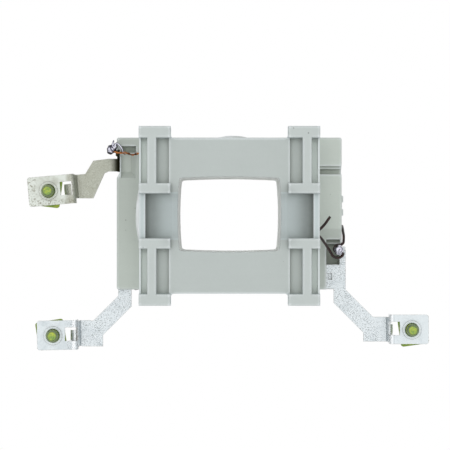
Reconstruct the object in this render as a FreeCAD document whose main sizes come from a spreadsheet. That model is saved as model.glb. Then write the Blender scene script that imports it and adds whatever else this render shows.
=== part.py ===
import FreeCAD, Part
import Sketcher
import math
import os

# A contactor's operating coil: a moulded bobbin with its winding and tape,
# three clamp terminals on metal strips, and the leads soldered to them.
# Millimetres. Z runs along the core window, from the front face at Z = 0, on
# which the coil stands, to the pads of the rear flange. X = Y = 0 is the
# middle of the core window.

doc = FreeCAD.newDocument("contactor_coil")

# Driving sizes

sizes = doc.addObject("Spreadsheet::Sheet", "Sizes")
SIZES = {
    # Core window and the tube round it
    "window_width": 27.2,
    "window_height": 19.8,
    "window_side_bow": 0.5,
    "window_end_bow": 0.4,
    "window_corner": 0.8,
    "tube_wall": 1.2,
    # Levels along Z
    "front_depth": 10.0,
    "winding_length": 18.0,
    "rear_thickness": 3.0,
    "pad_height": 3.0,
    # Front flange with its two shoulders
    "shoulder": 7.35,
    "front_top": 21.9,
    "front_bottom": 21.2,
    "front_corner": 0.6,
    "face_rounding": 0.4,
    "outer_wall": 1.5,
    "rib_wall": 1.4,
    "flange_web": 2.0,
    "shoulder_core": 4.0,
    # Rear flange and its four pads
    "rear_width": 49.1,
    "rear_height": 42.3,
    "rear_drop": 0.43,
    "pad_width": 8.6,
    "pad_overhang": 3.15,
    "pad_gap": 12.15,
    "pad_inner_bar": 2.8,
    "pad_rib": 2.5,
    "pad_rib_inset": 2.3,
    "pad_rim": 0.5,
    "pad_pocket": 1.6,
    "pad_rounding": 0.35,
    "pad_root_fillet": 0.9,
    "side_bar": 1.7,
    "dish_run": 7.2,
    "dish_depth": 2.1,
    # Winding and tape
    "wrap_width": 40.5,
    "wrap_height": 34.0,
    "wrap_side_bow": 4.8,
    "wrap_end_bow": 4.2,
    "wrap_corner": 6.0,
    "wrap_lean": 0.65,
    "tape": 0.4,
    # Recess and lead slot in the left shoulder
    "recess_edge": 1.2,
    "recess_width": 4.3,
    "recess_floor_width": 2.8,
    "recess_top": 19.5,
    "recess_bottom": 10.4,
    "recess_floor_bottom": 12.1,
    "recess_depth": 1.7,
    "lead_slot_width": 1.85,
    "lead_slot_depth": 4.2,
    "wall_notch": 0.9,
    "wall_notch_top": 18.5,
    # Groove and post recess in the right shoulder
    "groove_top": 13.8,
    "groove_width": 2.35,
    "groove_depth": 3.4,
    "groove_step": 0.8,
    "post_recess_top": 7.0,
    "post_recess_bottom": 14.1,
    "post_recess_inset": 4.4,
    "post_recess_depth": 4.4,
    "post_ledge": 1.3,
    "post_ledge_depth": 2.2,
    "post_wall": 0.5,
    "post_wall_end": 9.0,
    # Catch on the right side wall
    "catch_low": 0.4,
    "catch_length": 6.0,
    "catch_nib": 1.9,
    "catch_reach": 0.6,
    "catch_web": 0.25,
    "catch_level": 4.0,
    "catch_depth": 3.0,
    # Terminal strips
    "strip": 1.0,
    "strip_level": 7.0,
    "joggle_rise": 3.7,
    "bend_inside": 0.6,
    "clamp_corner": 0.7,
    "thread_clearance": 0.02,
    "mouth_chamfer": 0.2,
    "clamp_collar": 5.2,
    "collar_height": 0.35,
    "clamp_slot_start": 3.4,
    "clamp_slot_length": 3.3,
    "clamp_slot_height": 3.8,
    "clamp_slot_offset": 0.35,
    "stub_length": 2.4,
    "root_clearance": 0.05,
    "root_depth": 5.0,
    "tag_width": 1.6,
    "post_width": 1.25,
    "tag_top": 13.0,
    "ear_length": 1.9,
    "ear_bay": 2.6,
    # Upper left terminal
    "upper_left_out": 19.22,
    "upper_left_y": 6.71,
    "upper_left_turn": 5.1,
    "upper_left_reach": 7.9,
    "upper_left_end": 5.7,
    "upper_left_driver": 35.0,
    "upper_left_washer": -7.0,
    "upper_left_washer_right": -0.5,
    "upper_left_washer_drop": 0.45,
    "upper_stub_low": 4.7,
    "upper_stub_high": 11.6,
    "upper_neck_low": 12.35,
    "upper_neck": 3.6,
    "upper_neck_rise": 0.55,
    "upper_neck_inner": 3.6,
    "upper_neck_outer": 6.8,
    "upper_neck_start": 2.5,
    "upper_stub_end": 10.7,
    "upper_shoulder_run": 2.3,
    "upper_tag_end": 18.2,
    "root_foot": 1.5,
    # Lower left terminal
    "lower_left_out": 17.93,
    "lower_left_down": 12.98,
    "lower_left_turn": 1.0,
    "lower_left_reach": 7.4,
    "lower_left_end": 4.5,
    "lower_left_driver": 20.0,
    "lower_left_washer": 9.0,
    "lower_left_washer_right": -0.62,
    "lower_left_washer_drop": -0.25,
    "lower_left_outer": -0.3,
    "lower_left_inner": -4.1,
    "lower_left_knee": 1.85,
    "lower_left_inner_knee": 4.9,
    "lower_left_corner": 4.05,
    "lower_left_stub_high": 4.0,
    "lower_left_stub_low": 3.25,
    "left_root_inset": 4.1,
    # Lower right terminal
    "lower_right_out": 19.71,
    "lower_right_down": 11.31,
    "lower_right_turn": 180.0,
    "lower_right_reach": 6.7,
    "lower_right_end": 4.75,
    "lower_right_driver": -40.0,
    "lower_right_washer": 8.0,
    "lower_right_washer_right": 0.5,
    "lower_right_washer_drop": 0.42,
    "lower_right_outer": 1.25,
    "lower_right_inner": -2.15,
    "lower_right_knee": 0.1,
    "lower_right_inner_knee": 3.9,
    "lower_right_corner": 6.3,
    "lower_right_stub_high": 3.45,
    "lower_right_stub_low": 3.55,
    "post_level_y": 10.0,
    "plate_top": 14.2,
    "barb_inset": 3.85,
    "barb_width": 1.2,
    "barb_low": 18.45,
    "barb_height": 1.8,
    # Clamp plates
    "clamp_above": 4.25,
    "clamp_below": 4.05,
    "stub_above": 4.0,
    "stub_below": 2.7,
    "clamp_slot_drop": 0.6,
    "ear_width": 1.6,
    "ear_inset": 0.15,
    # Way of the jumper
    "channel_low": 18.6,
    "channel_width": 2.2,
    "channel_depth": 3.2,
    "jumper_notch_low": 4.0,
    # Clamp screws and washers
    "thread": 3.5,
    "screw_length": 5.2,
    "tip_chamfer": 0.35,
    "head_width": 6.4,
    "head_height": 2.3,
    "head_crown": 0.7,
    "driver_slot": 1.0,
    "driver_depth": 1.2,
    "washer_side": 8.0,
    "washer_thickness": 0.9,
    "washer_bore": 4.9,
    "washer_corner": 0.8,
    # Leads and solder
    "lead": 0.6,
    "start_strand": 0.7,
    "start_rise": 6.0,
    "start_sag": 0.9,
    "post_turn": 2.3,
    "tail_reach": 3.45,
    "upper_left_solder": 2.8,
    "lower_right_solder": 2.4,
    "lower_left_solder": 2.0,
}
for row, (name, number) in enumerate(SIZES.items(), start=1):
    sizes.set("A%d" % row, name)
    sizes.set("B%d" % row, str(number))
    sizes.setAlias("B%d" % row, name)
doc.recompute()


def size(name):
    return float(sizes.get(name))


def half_front():
    return size("rear_width") / 2 + size("shoulder")


def bind(thing, prop, expression):
    """Bind a property to an expression of the sheet's aliases, written as <alias>."""
    thing.setExpression(prop, expression.replace("<", "Sizes.").replace(">", ""))


# Sketching helpers

AXES = {"XY": "XY_Plane", "XZ": "XZ_Plane", "YZ": "YZ_Plane"}


def new_body(name):
    body = doc.addObject("PartDesign::Body", name)
    body.Label = name
    return body


def new_sketch(body, name, plane="XY", level=None):
    sketch = body.newObject("Sketcher::SketchObject", name)
    planes = {item.Role: item for item in body.Origin.OriginFeatures}
    sketch.AttachmentSupport = [(planes[AXES[plane]], "")]
    sketch.MapMode = "FlatFace"
    if level:
        bind(sketch, "AttachmentOffset.Base.z", level)
    return sketch


def pin_point(sketch, line, point, x, y, now=(1.0, 1.0)):
    """Hold one point of a line at a pair of expressions from the sketch origin."""
    for kind, expression, start in (("DistanceX", x, now[0]), ("DistanceY", y, now[1])):
        index = sketch.addConstraint(Sketcher.Constraint(kind, -1, 1, line, point, start))
        bind(sketch, "Constraints[%d]" % index, expression)


def outline(sketch, corners):
    """Closed outline: a rough ring of lines, each corner pulled to its expressions."""
    first = sketch.GeometryCount
    count = len(corners)
    step = 2 * math.pi / count
    ring = [FreeCAD.Vector(math.cos(step * k), math.sin(step * k), 0) for k in range(count)]
    for k in range(count):
        sketch.addGeometry(Part.LineSegment(ring[k], ring[(k + 1) % count]))
    for k in range(count):
        sketch.addConstraint(Sketcher.Constraint("Coincident", first + k, 2, first + (k + 1) % count, 1))
    for k, (x, y) in enumerate(corners):
        pin_point(sketch, first + k, 1, x, y)


def rectangle(sketch, left, right, bottom, top):
    outline(sketch, [(left, bottom), (right, bottom), (right, top), (left, top)])


def circle(sketch, diameter, x=None, y=None):
    index = sketch.addGeometry(Part.Circle(FreeCAD.Vector(0, 0, 0), FreeCAD.Vector(0, 0, 1), 1.0))
    width = sketch.addConstraint(Sketcher.Constraint("Diameter", index, 2.0))
    bind(sketch, "Constraints[%d]" % width, diameter)
    if x:
        pin_point(sketch, index, 3, x, y)
    else:
        sketch.addConstraint(Sketcher.Constraint("Coincident", index, 3, -1, 1))


def bowed_outline(sketch, width, height, side_bow, end_bow, grown=(), lean=None):
    """Rectangle whose four sides bow outwards, grown all round by the named sizes."""
    extra = sum(size(name) * sign for name, sign in grown)
    more = "".join(" %s <%s>" % ("+" if sign > 0 else "-", name) for name, sign in grown)
    shift = size(lean) if lean else 0.0
    back = " - <%s>" % lean if lean else ""
    half_x = size(width) / 2 + extra
    half_y = size(height) / 2 + extra
    out_x = half_x + size(side_bow)
    out_y = half_y + size(end_bow)
    corners = [(1, -1), (1, 1), (-1, 1), (-1, -1)]
    middles = [(out_x, 0), (0, out_y), (-out_x, 0), (0, -out_y)]
    half_width = "(<%s> / 2%s)" % (width, more)
    half_height = "(<%s> / 2%s)" % (height, more)
    first = sketch.GeometryCount
    for k in range(4):
        here = corners[k]
        there = corners[(k + 1) % 4]
        start = FreeCAD.Vector(here[0] * half_x - shift, here[1] * half_y, 0)
        end = FreeCAD.Vector(there[0] * half_x - shift, there[1] * half_y, 0)
        middle = FreeCAD.Vector(middles[k][0] - shift, middles[k][1], 0)
        sketch.addGeometry(Part.Arc(start, middle, end))
    for k in range(4):
        sketch.addConstraint(Sketcher.Constraint("Coincident", first + k, 2, first + (k + 1) % 4, 1))
        chord = half_height if k % 2 == 0 else half_width
        bow = side_bow if k % 2 == 0 else end_bow
        radius = size(bow) / 2 + (half_y if k % 2 == 0 else half_x) ** 2 / (2 * size(bow))
        index = sketch.addConstraint(Sketcher.Constraint("Radius", first + k, radius))
        bind(sketch, "Constraints[%d]" % index, "<%s> / 2 + %s ^ 2 / (2 * <%s>)" % (bow, chord, bow))
    for k, (side, end) in enumerate(corners):
        x = "%s%s%s" % ("" if side > 0 else "-", half_width, back)
        y = "%s%s" % ("" if end > 0 else "-", half_height)
        pin_point(sketch, first + k, 1, x, y, (side * half_x - shift, end * half_y))


def pad(body, sketch, length, backwards=False):
    feature = body.newObject("PartDesign::Pad", sketch.Name + "_pad")
    feature.Profile = sketch
    feature.Reversed = backwards
    bind(feature, "Length", length)
    return feature


def pocket(body, sketch, depth=None, backwards=False):
    feature = body.newObject("PartDesign::Pocket", sketch.Name + "_pocket")
    feature.Profile = sketch
    feature.Reversed = backwards
    if depth:
        bind(feature, "Length", depth)
    else:
        feature.Type = "ThroughAll"
    return feature


def soften(body, kind, name, base, edges, amount):
    """Fillet or chamfer the chosen edges of the body's last feature."""
    feature = body.newObject("PartDesign::" + kind, name)
    feature.Base = (base, edges)
    bind(feature, "Radius" if kind == "Fillet" else "Size", amount)
    return feature


def edges_where(feature, chosen):
    doc.recompute()
    return ["Edge%d" % (k + 1) for k, edge in enumerate(feature.Shape.Edges) if chosen(edge)]


def upright(edge):
    box = edge.BoundBox
    return box.XLength < 0.001 and box.YLength < 0.001


def at_level(edge, level):
    box = edge.BoundBox
    return abs(box.ZMin - level) < 0.001 and abs(box.ZMax - level) < 0.001


def close_to(number, *wanted):
    return any(abs(number - item) < 0.02 for item in wanted)


# Bobbin: front flange with shoulders, core tube, rear flange with four pads

REAR_LEVEL = "(<front_depth> + <winding_length>)"
PLATE_TOP = "(<front_depth> + <winding_length> + <rear_thickness>)"
HALF_FRONT = "(<rear_width> / 2 + <shoulder>)"
WIDE = "(<rear_width> + 2 * <shoulder>)"
LEFT_ROOT = "(<rear_width> / 2 + <shoulder> - <left_root_inset>)"
WALL = "-(<rear_width> / 2 + <shoulder>)"
POST_LEFT = "(<rear_width> / 2 + <shoulder> - <post_recess_inset>)"
HALF_REAR = "(<rear_width> / 2)"
HALF_PLATE = "(<rear_height> / 2)"
HALF_GAP = "(<pad_gap> / 2)"
QUARTERS = [(side, end) for side in ("", "-") for end in ("", "-")]


def mirrored(corners, side, end):
    """Corners given for the right upper quarter, turned to another one of the rear flange."""
    return [(side + x, "%s%s - <rear_drop>" % (end, y)) for x, y in corners]


def add_flanges(body):
    front = new_sketch(body, "front_outline")
    rectangle(front, "-" + HALF_FRONT, HALF_FRONT, "-<front_bottom>", "<front_top>")
    slab = pad(body, front, "<front_depth>")
    corners = edges_where(slab, upright)
    rounded = soften(body, "Fillet", "front_corners", slab, corners, "<front_corner>")
    level = size("front_depth")
    rim = edges_where(rounded, lambda edge: at_level(edge, level))
    soften(body, "Fillet", "front_face_rim", rounded, rim, "<face_rounding>")
    tube = new_sketch(body, "tube_outline")
    bowed_outline(tube, "window_width", "window_height", "window_side_bow", "window_end_bow",
                  grown=[("tube_wall", 1)])
    pad(body, tube, PLATE_TOP)
    rear = new_sketch(body, "rear_outline", level=REAR_LEVEL)
    rectangle(rear, "-" + HALF_REAR, HALF_REAR, "-%s - <rear_drop>" % HALF_PLATE,
              "%s - <rear_drop>" % HALF_PLATE)
    pad(body, rear, "<rear_thickness>")


def add_pads(body):
    """Each pad is an I on its side: outer bar, rib and inner bar."""
    outside = HALF_REAR
    inside = "(<rear_width> / 2 - <pad_width>)"
    rib_outside = "(<rear_width> / 2 - <pad_rib_inset>)"
    rib_inside = "(<rear_width> / 2 - <pad_rib_inset> - <pad_rib>)"
    bar_outer = "(<rear_height> / 2 + <pad_overhang>)"
    bar_inner = HALF_PLATE
    low_outer = "(<pad_gap> / 2 + <pad_inner_bar>)"
    shape = [
        (outside, bar_outer), (inside, bar_outer), (inside, bar_inner), (rib_inside, bar_inner),
        (rib_inside, low_outer), (inside, low_outer), (inside, HALF_GAP), (outside, HALF_GAP),
        (outside, low_outer), (rib_outside, low_outer), (rib_outside, bar_inner), (outside, bar_inner),
    ]
    pads = new_sketch(body, "pad_outlines", level=REAR_LEVEL)
    for side, end in QUARTERS:
        outline(pads, mirrored(shape, side, end))
    raised = pad(body, pads, "<rear_thickness> + <pad_height>")
    roots_x = size("rear_width") / 2 - size("pad_width")
    ends_y = [sign * size("rear_height") / 2 - size("rear_drop") for sign in (1, -1)]
    roots = edges_where(raised, lambda edge: upright(edge)
                        and close_to(abs(edge.BoundBox.XMin), roots_x)
                        and close_to(edge.BoundBox.YMin, *ends_y)
                        and edge.BoundBox.ZMax < size("front_depth") + size("winding_length")
                        + size("rear_thickness") + 0.1)
    if roots:
        raised = soften(body, "Fillet", "pad_roots", raised, roots, "<pad_root_fillet>")
    top = size("front_depth") + size("winding_length") + size("rear_thickness") + size("pad_height")
    rims = edges_where(raised, lambda edge: at_level(edge, top))
    soften(body, "Fillet", "pad_rims", raised, rims, "<pad_rounding>")
    pockets = new_sketch(body, "pad_pockets", level=PLATE_TOP)
    outer = [("(<rear_width> / 2 - <pad_rim>)", low_outer), ("(<rear_width> / 2 - <pad_rim>)", bar_inner),
             (rib_outside, bar_inner), (rib_outside, low_outer)]
    inner = [(rib_inside, low_outer), (rib_inside, bar_inner),
             ("(<rear_width> / 2 - <pad_width> + <pad_rim>)", bar_inner),
             ("(<rear_width> / 2 - <pad_width> + <pad_rim>)", low_outer)]
    for side, end in QUARTERS:
        outline(pockets, mirrored(outer, side, end))
        outline(pockets, mirrored(inner, side, end))
    pocket(body, pockets, "<pad_pocket>")


def add_dishes(body):
    """Between the pads the rear face slopes down from the window to a bar at each side."""
    dish = new_sketch(body, "side_dishes", plane="XZ", level="<rear_drop> - %s" % HALF_GAP)
    deep = "(<rear_width> / 2 - <side_bar>)"
    shallow = "(<rear_width> / 2 - <side_bar> - <dish_run>)"
    for side in ("", "-"):
        outline(dish, [(side + deep, PLATE_TOP + " - <dish_depth>"), (side + deep, PLATE_TOP),
                       (side + shallow, PLATE_TOP)])
    pocket(body, dish, "<pad_gap>", backwards=True)


def add_window(body):
    window = new_sketch(body, "core_window")
    bowed_outline(window, "window_width", "window_height", "window_side_bow", "window_end_bow")
    hole = pocket(body, window, backwards=True)
    half_x = size("window_width") / 2
    half_y = size("window_height") / 2
    corners = edges_where(hole, lambda edge: upright(edge)
                          and close_to(abs(edge.BoundBox.XMin), half_x)
                          and close_to(abs(edge.BoundBox.YMin), half_y))
    soften(body, "Fillet", "window_corners", hole, corners, "<window_corner>")


def add_front_cells(body):
    """The thick front flange is cored out from the front, with ribs left between the cells."""
    cells = new_sketch(body, "front_cells")
    tube_x = "(<window_width> / 2 + <window_side_bow> + <tube_wall> + <rib_wall>)"
    tube_y = "(<window_height> / 2 + <window_end_bow> + <tube_wall> + <rib_wall>)"
    belt = "(<rear_width> / 2 - <rib_wall>)"
    rows = [("<rib_wall> / 2", tube_y), ("-" + tube_y, "-<rib_wall> / 2")]
    for low, high in rows:
        rectangle(cells, tube_x, belt, low, high)
        rectangle(cells, "-" + belt, "-" + tube_x, low, high)
    spans = [("-" + belt, "-<rib_wall> / 2"), ("<rib_wall> / 2", belt)]
    for left, right in spans:
        rectangle(cells, left, right, tube_y + " + <rib_wall>", "<front_top> - <outer_wall>")
        rectangle(cells, left, right, "-<front_bottom> + <outer_wall>", "-%s - <rib_wall>" % tube_y)
    pocket(body, cells, "<front_depth> - <flange_web>", backwards=True)
    shoulders = new_sketch(body, "shoulder_cells")
    wall = "(%s - <wall_notch> - <outer_wall>)" % HALF_FRONT
    rectangle(shoulders, HALF_REAR, wall, "-<front_bottom> + <outer_wall>", "-<rib_wall> / 2")
    rectangle(shoulders, HALF_REAR, wall, "<rib_wall> / 2", "<front_top> - <outer_wall>")
    rectangle(shoulders, "-" + wall, "-" + HALF_REAR, "-<front_bottom> + <outer_wall> + <ear_bay>",
              "-<rib_wall> / 2")
    rectangle(shoulders, "-" + wall, "-" + HALF_REAR, "<rib_wall> / 2", "<front_top> - <outer_wall>")
    pocket(body, shoulders, "<shoulder_core>", backwards=True)


def add_left_recess(body):
    """A shallow recess with two sloped sides, and a deep slot under the start lead."""
    left = "-(%s - <recess_edge>)" % HALF_FRONT
    mouth = new_sketch(body, "recess_mouth", level="<front_depth>")
    rectangle(mouth, left, left + " + <recess_width>", "<recess_bottom>", "<recess_top>")
    floor = new_sketch(body, "recess_floor", level="<front_depth> - <recess_depth>")
    rectangle(floor, left, left + " + <recess_floor_width>", "<recess_floor_bottom>", "<recess_top>")
    recess = body.newObject("PartDesign::SubtractiveLoft", "recess")
    recess.Profile = mouth
    recess.Sections = [floor]
    recess.Ruled = True
    slot = new_sketch(body, "lead_slot", level="<front_depth>")
    rectangle(slot, left, left + " + <recess_width>", "<recess_top> - <lead_slot_width>", "<recess_top>")
    pocket(body, slot, "<lead_slot_depth>")
    notch = new_sketch(body, "wall_notch")
    floor_x = "-(%s - <wall_notch>)" % HALF_FRONT
    outline(notch, [("-" + WIDE, "<recess_bottom>"), ("-" + HALF_FRONT, "<recess_bottom>"),
                    (floor_x, "<recess_floor_bottom>"), (floor_x, "<wall_notch_top>"),
                    ("-" + WIDE, "<wall_notch_top>")])
    pocket(body, notch, backwards=True)


def add_right_recesses(body):
    """A stepped groove, the deep recess of the solder post and the seat of the right strip."""
    bottom = "<groove_top> - <groove_width>"
    groove = new_sketch(body, "groove", level="<front_depth>")
    rectangle(groove, HALF_REAR, WIDE, bottom, "<groove_top> - <groove_step>")
    pocket(body, groove, "<groove_depth>")
    step = new_sketch(body, "groove_step", level="<front_depth>")
    rectangle(step, HALF_REAR, WIDE, bottom, "<groove_top>")
    pocket(body, step, "<groove_depth> / 2")
    post = new_sketch(body, "post_recess", level="<front_depth>")
    rectangle(post, POST_LEFT, HALF_FRONT + " - <post_wall>", "-<post_recess_bottom>",
              "-<post_recess_top> - <post_ledge>")
    pocket(body, post, "<post_recess_depth>")
    ledge = new_sketch(body, "post_ledge", level="<front_depth>")
    rectangle(ledge, POST_LEFT, HALF_FRONT + " - <post_wall>", "-<post_recess_bottom>",
              "-<post_recess_top>")
    pocket(body, ledge, "<post_ledge_depth>")
    seat = new_sketch(body, "strip_seat", level="<front_depth>")
    strip_left = HALF_FRONT + " - <post_wall> - <root_clearance>"
    outline(seat, [(POST_LEFT, "-" + WIDE), (WIDE, "-" + WIDE),
                   (WIDE, "-<post_wall_end>"), (strip_left, "-<post_wall_end>"),
                   (strip_left, "-<post_recess_bottom>"), (POST_LEFT, "-<post_recess_bottom>")])
    pocket(body, seat, "<front_depth> - <strip_level>")


def add_catch(body):
    """Two low nibs on the right side wall, joined by a web."""
    catch = new_sketch(body, "catch_outline", level="<catch_level>")
    wall = HALF_FRONT + " - <root_clearance>"
    nib = HALF_FRONT + " + <catch_reach>"
    web = HALF_FRONT + " + <catch_web>"
    top = "<catch_length> - <catch_low>"
    outline(catch, [(wall, "-<catch_low>"), (nib, "-<catch_low> + <catch_web>"),
                    (nib, "<catch_nib> - <catch_low>"), (web, "<catch_nib> - <catch_low> + <catch_web>"),
                    (web, top + " - <catch_nib> - <catch_web>"), (nib, top + " - <catch_nib>"),
                    (nib, top + " - <catch_web>"), (wall, top)])
    pad(body, catch, "<catch_depth>")


def add_left_root(body):
    """Slot in the bottom wall for the lower left strip, with a bay for its solder ear."""
    slot = new_sketch(body, "root_slot", plane="XZ", level="<front_bottom>")
    rectangle(slot, "-%s + <root_clearance>" % HALF_FRONT, "-" + LEFT_ROOT + " + <root_clearance>",
              "<strip_level>", "<strip_level> + <strip> + <root_clearance>")
    pocket(body, slot, "<root_depth> + <root_clearance>")
    bay = new_sketch(body, "ear_bay")
    rectangle(bay, "-" + LEFT_ROOT, "-" + LEFT_ROOT + " + <ear_bay>", "-" + WIDE,
              "-<front_bottom> + <ear_bay>")
    pocket(body, bay, "<strip_level> + <strip> + <root_clearance>", backwards=True)


def add_jumper_way(body):
    """Notches in the front ribs, through which the jumper crosses to the left terminal."""
    channel = new_sketch(body, "jumper_channel")
    rectangle(channel, "-" + LEFT_ROOT + " + <root_clearance>", HALF_REAR + " + <root_clearance>",
              "-<channel_low>", "-<channel_low> + <channel_width>")
    pocket(body, channel, "<channel_depth>", backwards=True)
    notch = new_sketch(body, "jumper_notch")
    rectangle(notch, "(%s - <wall_notch> - <outer_wall> - <root_clearance>)" % HALF_FRONT, WIDE,
              "-<jumper_notch_low>", "-<jumper_notch_low> + <channel_width>")
    pocket(body, notch, "<channel_depth>", backwards=True)


def make_bobbin():
    body = new_body("bobbin")
    add_flanges(body)
    add_pads(body)
    add_dishes(body)
    add_window(body)
    add_front_cells(body)
    add_left_recess(body)
    add_right_recesses(body)
    add_catch(body)
    add_left_root(body)
    add_jumper_way(body)


# Winding and the tape round it

def make_winding():
    body = new_body("winding")
    outside = new_sketch(body, "wound_outline", level="<front_depth>")
    bowed_outline(outside, "wrap_width", "wrap_height", "wrap_side_bow", "wrap_end_bow",
                  grown=[("tape", -1)], lean="wrap_lean")
    wound = pad(body, outside, "<winding_length>")
    soften(body, "Fillet", "wound_corners", wound, edges_where(wound, upright), "<wrap_corner>")
    bore = new_sketch(body, "tube_bore")
    bowed_outline(bore, "window_width", "window_height", "window_side_bow", "window_end_bow",
                  grown=[("tube_wall", 1)])
    pocket(body, bore, backwards=True)


def make_tape():
    body = new_body("winding_tape")
    outside = new_sketch(body, "tape_outline", level="<front_depth>")
    bowed_outline(outside, "wrap_width", "wrap_height", "wrap_side_bow", "wrap_end_bow",
                  lean="wrap_lean")
    layer = pad(body, outside, "<winding_length>")
    soften(body, "Fillet", "tape_corners", layer, edges_where(layer, upright), "<wrap_corner>")
    inside = new_sketch(body, "tape_bore")
    bowed_outline(inside, "wrap_width", "wrap_height", "wrap_side_bow", "wrap_end_bow",
                  grown=[("tape", -1)], lean="wrap_lean")
    hollow = pocket(body, inside, backwards=True)
    inner_y = size("wrap_height") / 2 - size("tape")
    corners = edges_where(hollow, lambda edge: upright(edge)
                          and close_to(abs(edge.BoundBox.YMin), inner_y))
    soften(body, "Fillet", "tape_bore_corners", hollow, corners, "<wrap_corner>")


# Terminal strips: each is one sheet, with a joggled clamp plate at its outer end

def along_bend(edge, x, z):
    box = edge.BoundBox
    return box.XLength < 0.001 and box.ZLength < 0.001 and close_to(box.XMin, x) and close_to(box.ZMin, z)


def place_at_clamp(body, name, right="", up=""):
    """Put a body's own Z axis on the screw axis of one clamp, which is so far out from the side wall."""
    across = "%s + <%s_out>" % (HALF_FRONT, name)
    along = "<upper_left_y>" if name == "upper_left" else "-<front_bottom> - <%s_down>" % name
    bind(body, "Placement.Base.x", (across if name == "lower_right" else "-(%s)" % across) + right)
    bind(body, "Placement.Base.y", along + up)


def make_clamp(name, above, below, stub_above, stub_below):
    """Clamp plate, joggle and stub, with the screw hole on its own Z axis and the arm along +X."""
    body = doc.addObject("PartDesign::Body", name + "_clamp")
    reach = "<%s_reach>" % name
    back = "-<%s_end>" % name
    far = reach + " + <bend_inside> + <stub_length>"
    low = "<strip_level>"
    high = "(<strip_level> + <joggle_rise>)"
    profile = new_sketch(body, name + "_joggle", plane="XZ", level="-<%s>" % above)
    outline(profile, [(back, high), (reach + " - <strip>", high), (reach + " - <strip>", low), (far, low),
                      (far, low + " + <strip>"), (reach, low + " + <strip>"), (reach, high + " + <strip>"),
                      (back, high + " + <strip>")])
    plate = pad(body, profile, "<%s> + <%s>" % (above, below))
    wall = size(name + "_reach")
    strip = size("strip")
    floor = size("strip_level")
    raised = floor + size("joggle_rise")
    inner = edges_where(plate, lambda edge: along_bend(edge, wall, floor + strip)
                        or along_bend(edge, wall - strip, raised))
    bent = soften(body, "Fillet", name + "_inner_bends", plate, inner, "<bend_inside>")
    outer = edges_where(bent, lambda edge: along_bend(edge, wall, raised + strip)
                        or along_bend(edge, wall - strip, floor))
    bent = soften(body, "Fillet", name + "_outer_bends", bent, outer, "<bend_inside> + <strip>")
    sides = new_sketch(body, name + "_stub_sides")
    rectangle(sides, reach + " - <strip> / 2", far + " + <strip>",
              "<%s>" % stub_above, "<%s> + <strip>" % above)
    rectangle(sides, reach + " - <strip> / 2", far + " + <strip>", "-<%s> - <strip>" % below,
              "-<%s>" % stub_below)
    narrowed = pocket(body, sides, backwards=True)
    end = -size(name + "_end")
    corners = edges_where(narrowed, lambda edge: upright(edge) and close_to(edge.BoundBox.XMin, end))
    soften(body, "Fillet", name + "_clamp_corners", narrowed, corners, "<clamp_corner>")
    collar = new_sketch(body, name + "_collar", level=high + " + <strip>")
    circle(collar, "<clamp_collar>")
    pad(body, collar, "<collar_height>")
    hole = new_sketch(body, name + "_screw_hole")
    circle(hole, "<thread> + 2 * <thread_clearance>")
    bored = pocket(body, hole, backwards=True)
    mouth = raised + strip + size("collar_height")
    bore = size("thread") + 2 * size("thread_clearance")
    rim = edges_where(bored, lambda edge: at_level(edge, mouth) and close_to(edge.BoundBox.XLength, bore))
    soften(body, "Chamfer", name + "_mouth", bored, rim, "<mouth_chamfer>")
    slot = new_sketch(body, name + "_slot", level=high + " + <strip>")
    offset = "<clamp_slot_offset>" if above == "clamp_above" else "-<clamp_slot_offset>"
    rectangle(slot, "<clamp_slot_start>", "<clamp_slot_start> + <clamp_slot_length>",
              offset + " - <clamp_slot_height> / 2", offset + " + <clamp_slot_height> / 2")
    pocket(body, slot, "<strip> + <clamp_slot_drop>")
    place_at_clamp(body, name)
    bind(body, "Placement.Rotation.Angle", "<%s_turn>" % name)
    return body


def join_strip(name, pieces):
    strip = doc.addObject("Part::MultiFuse", name)
    strip.Label = name
    strip.Shapes = pieces
    strip.Refine = True
    return strip


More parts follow.
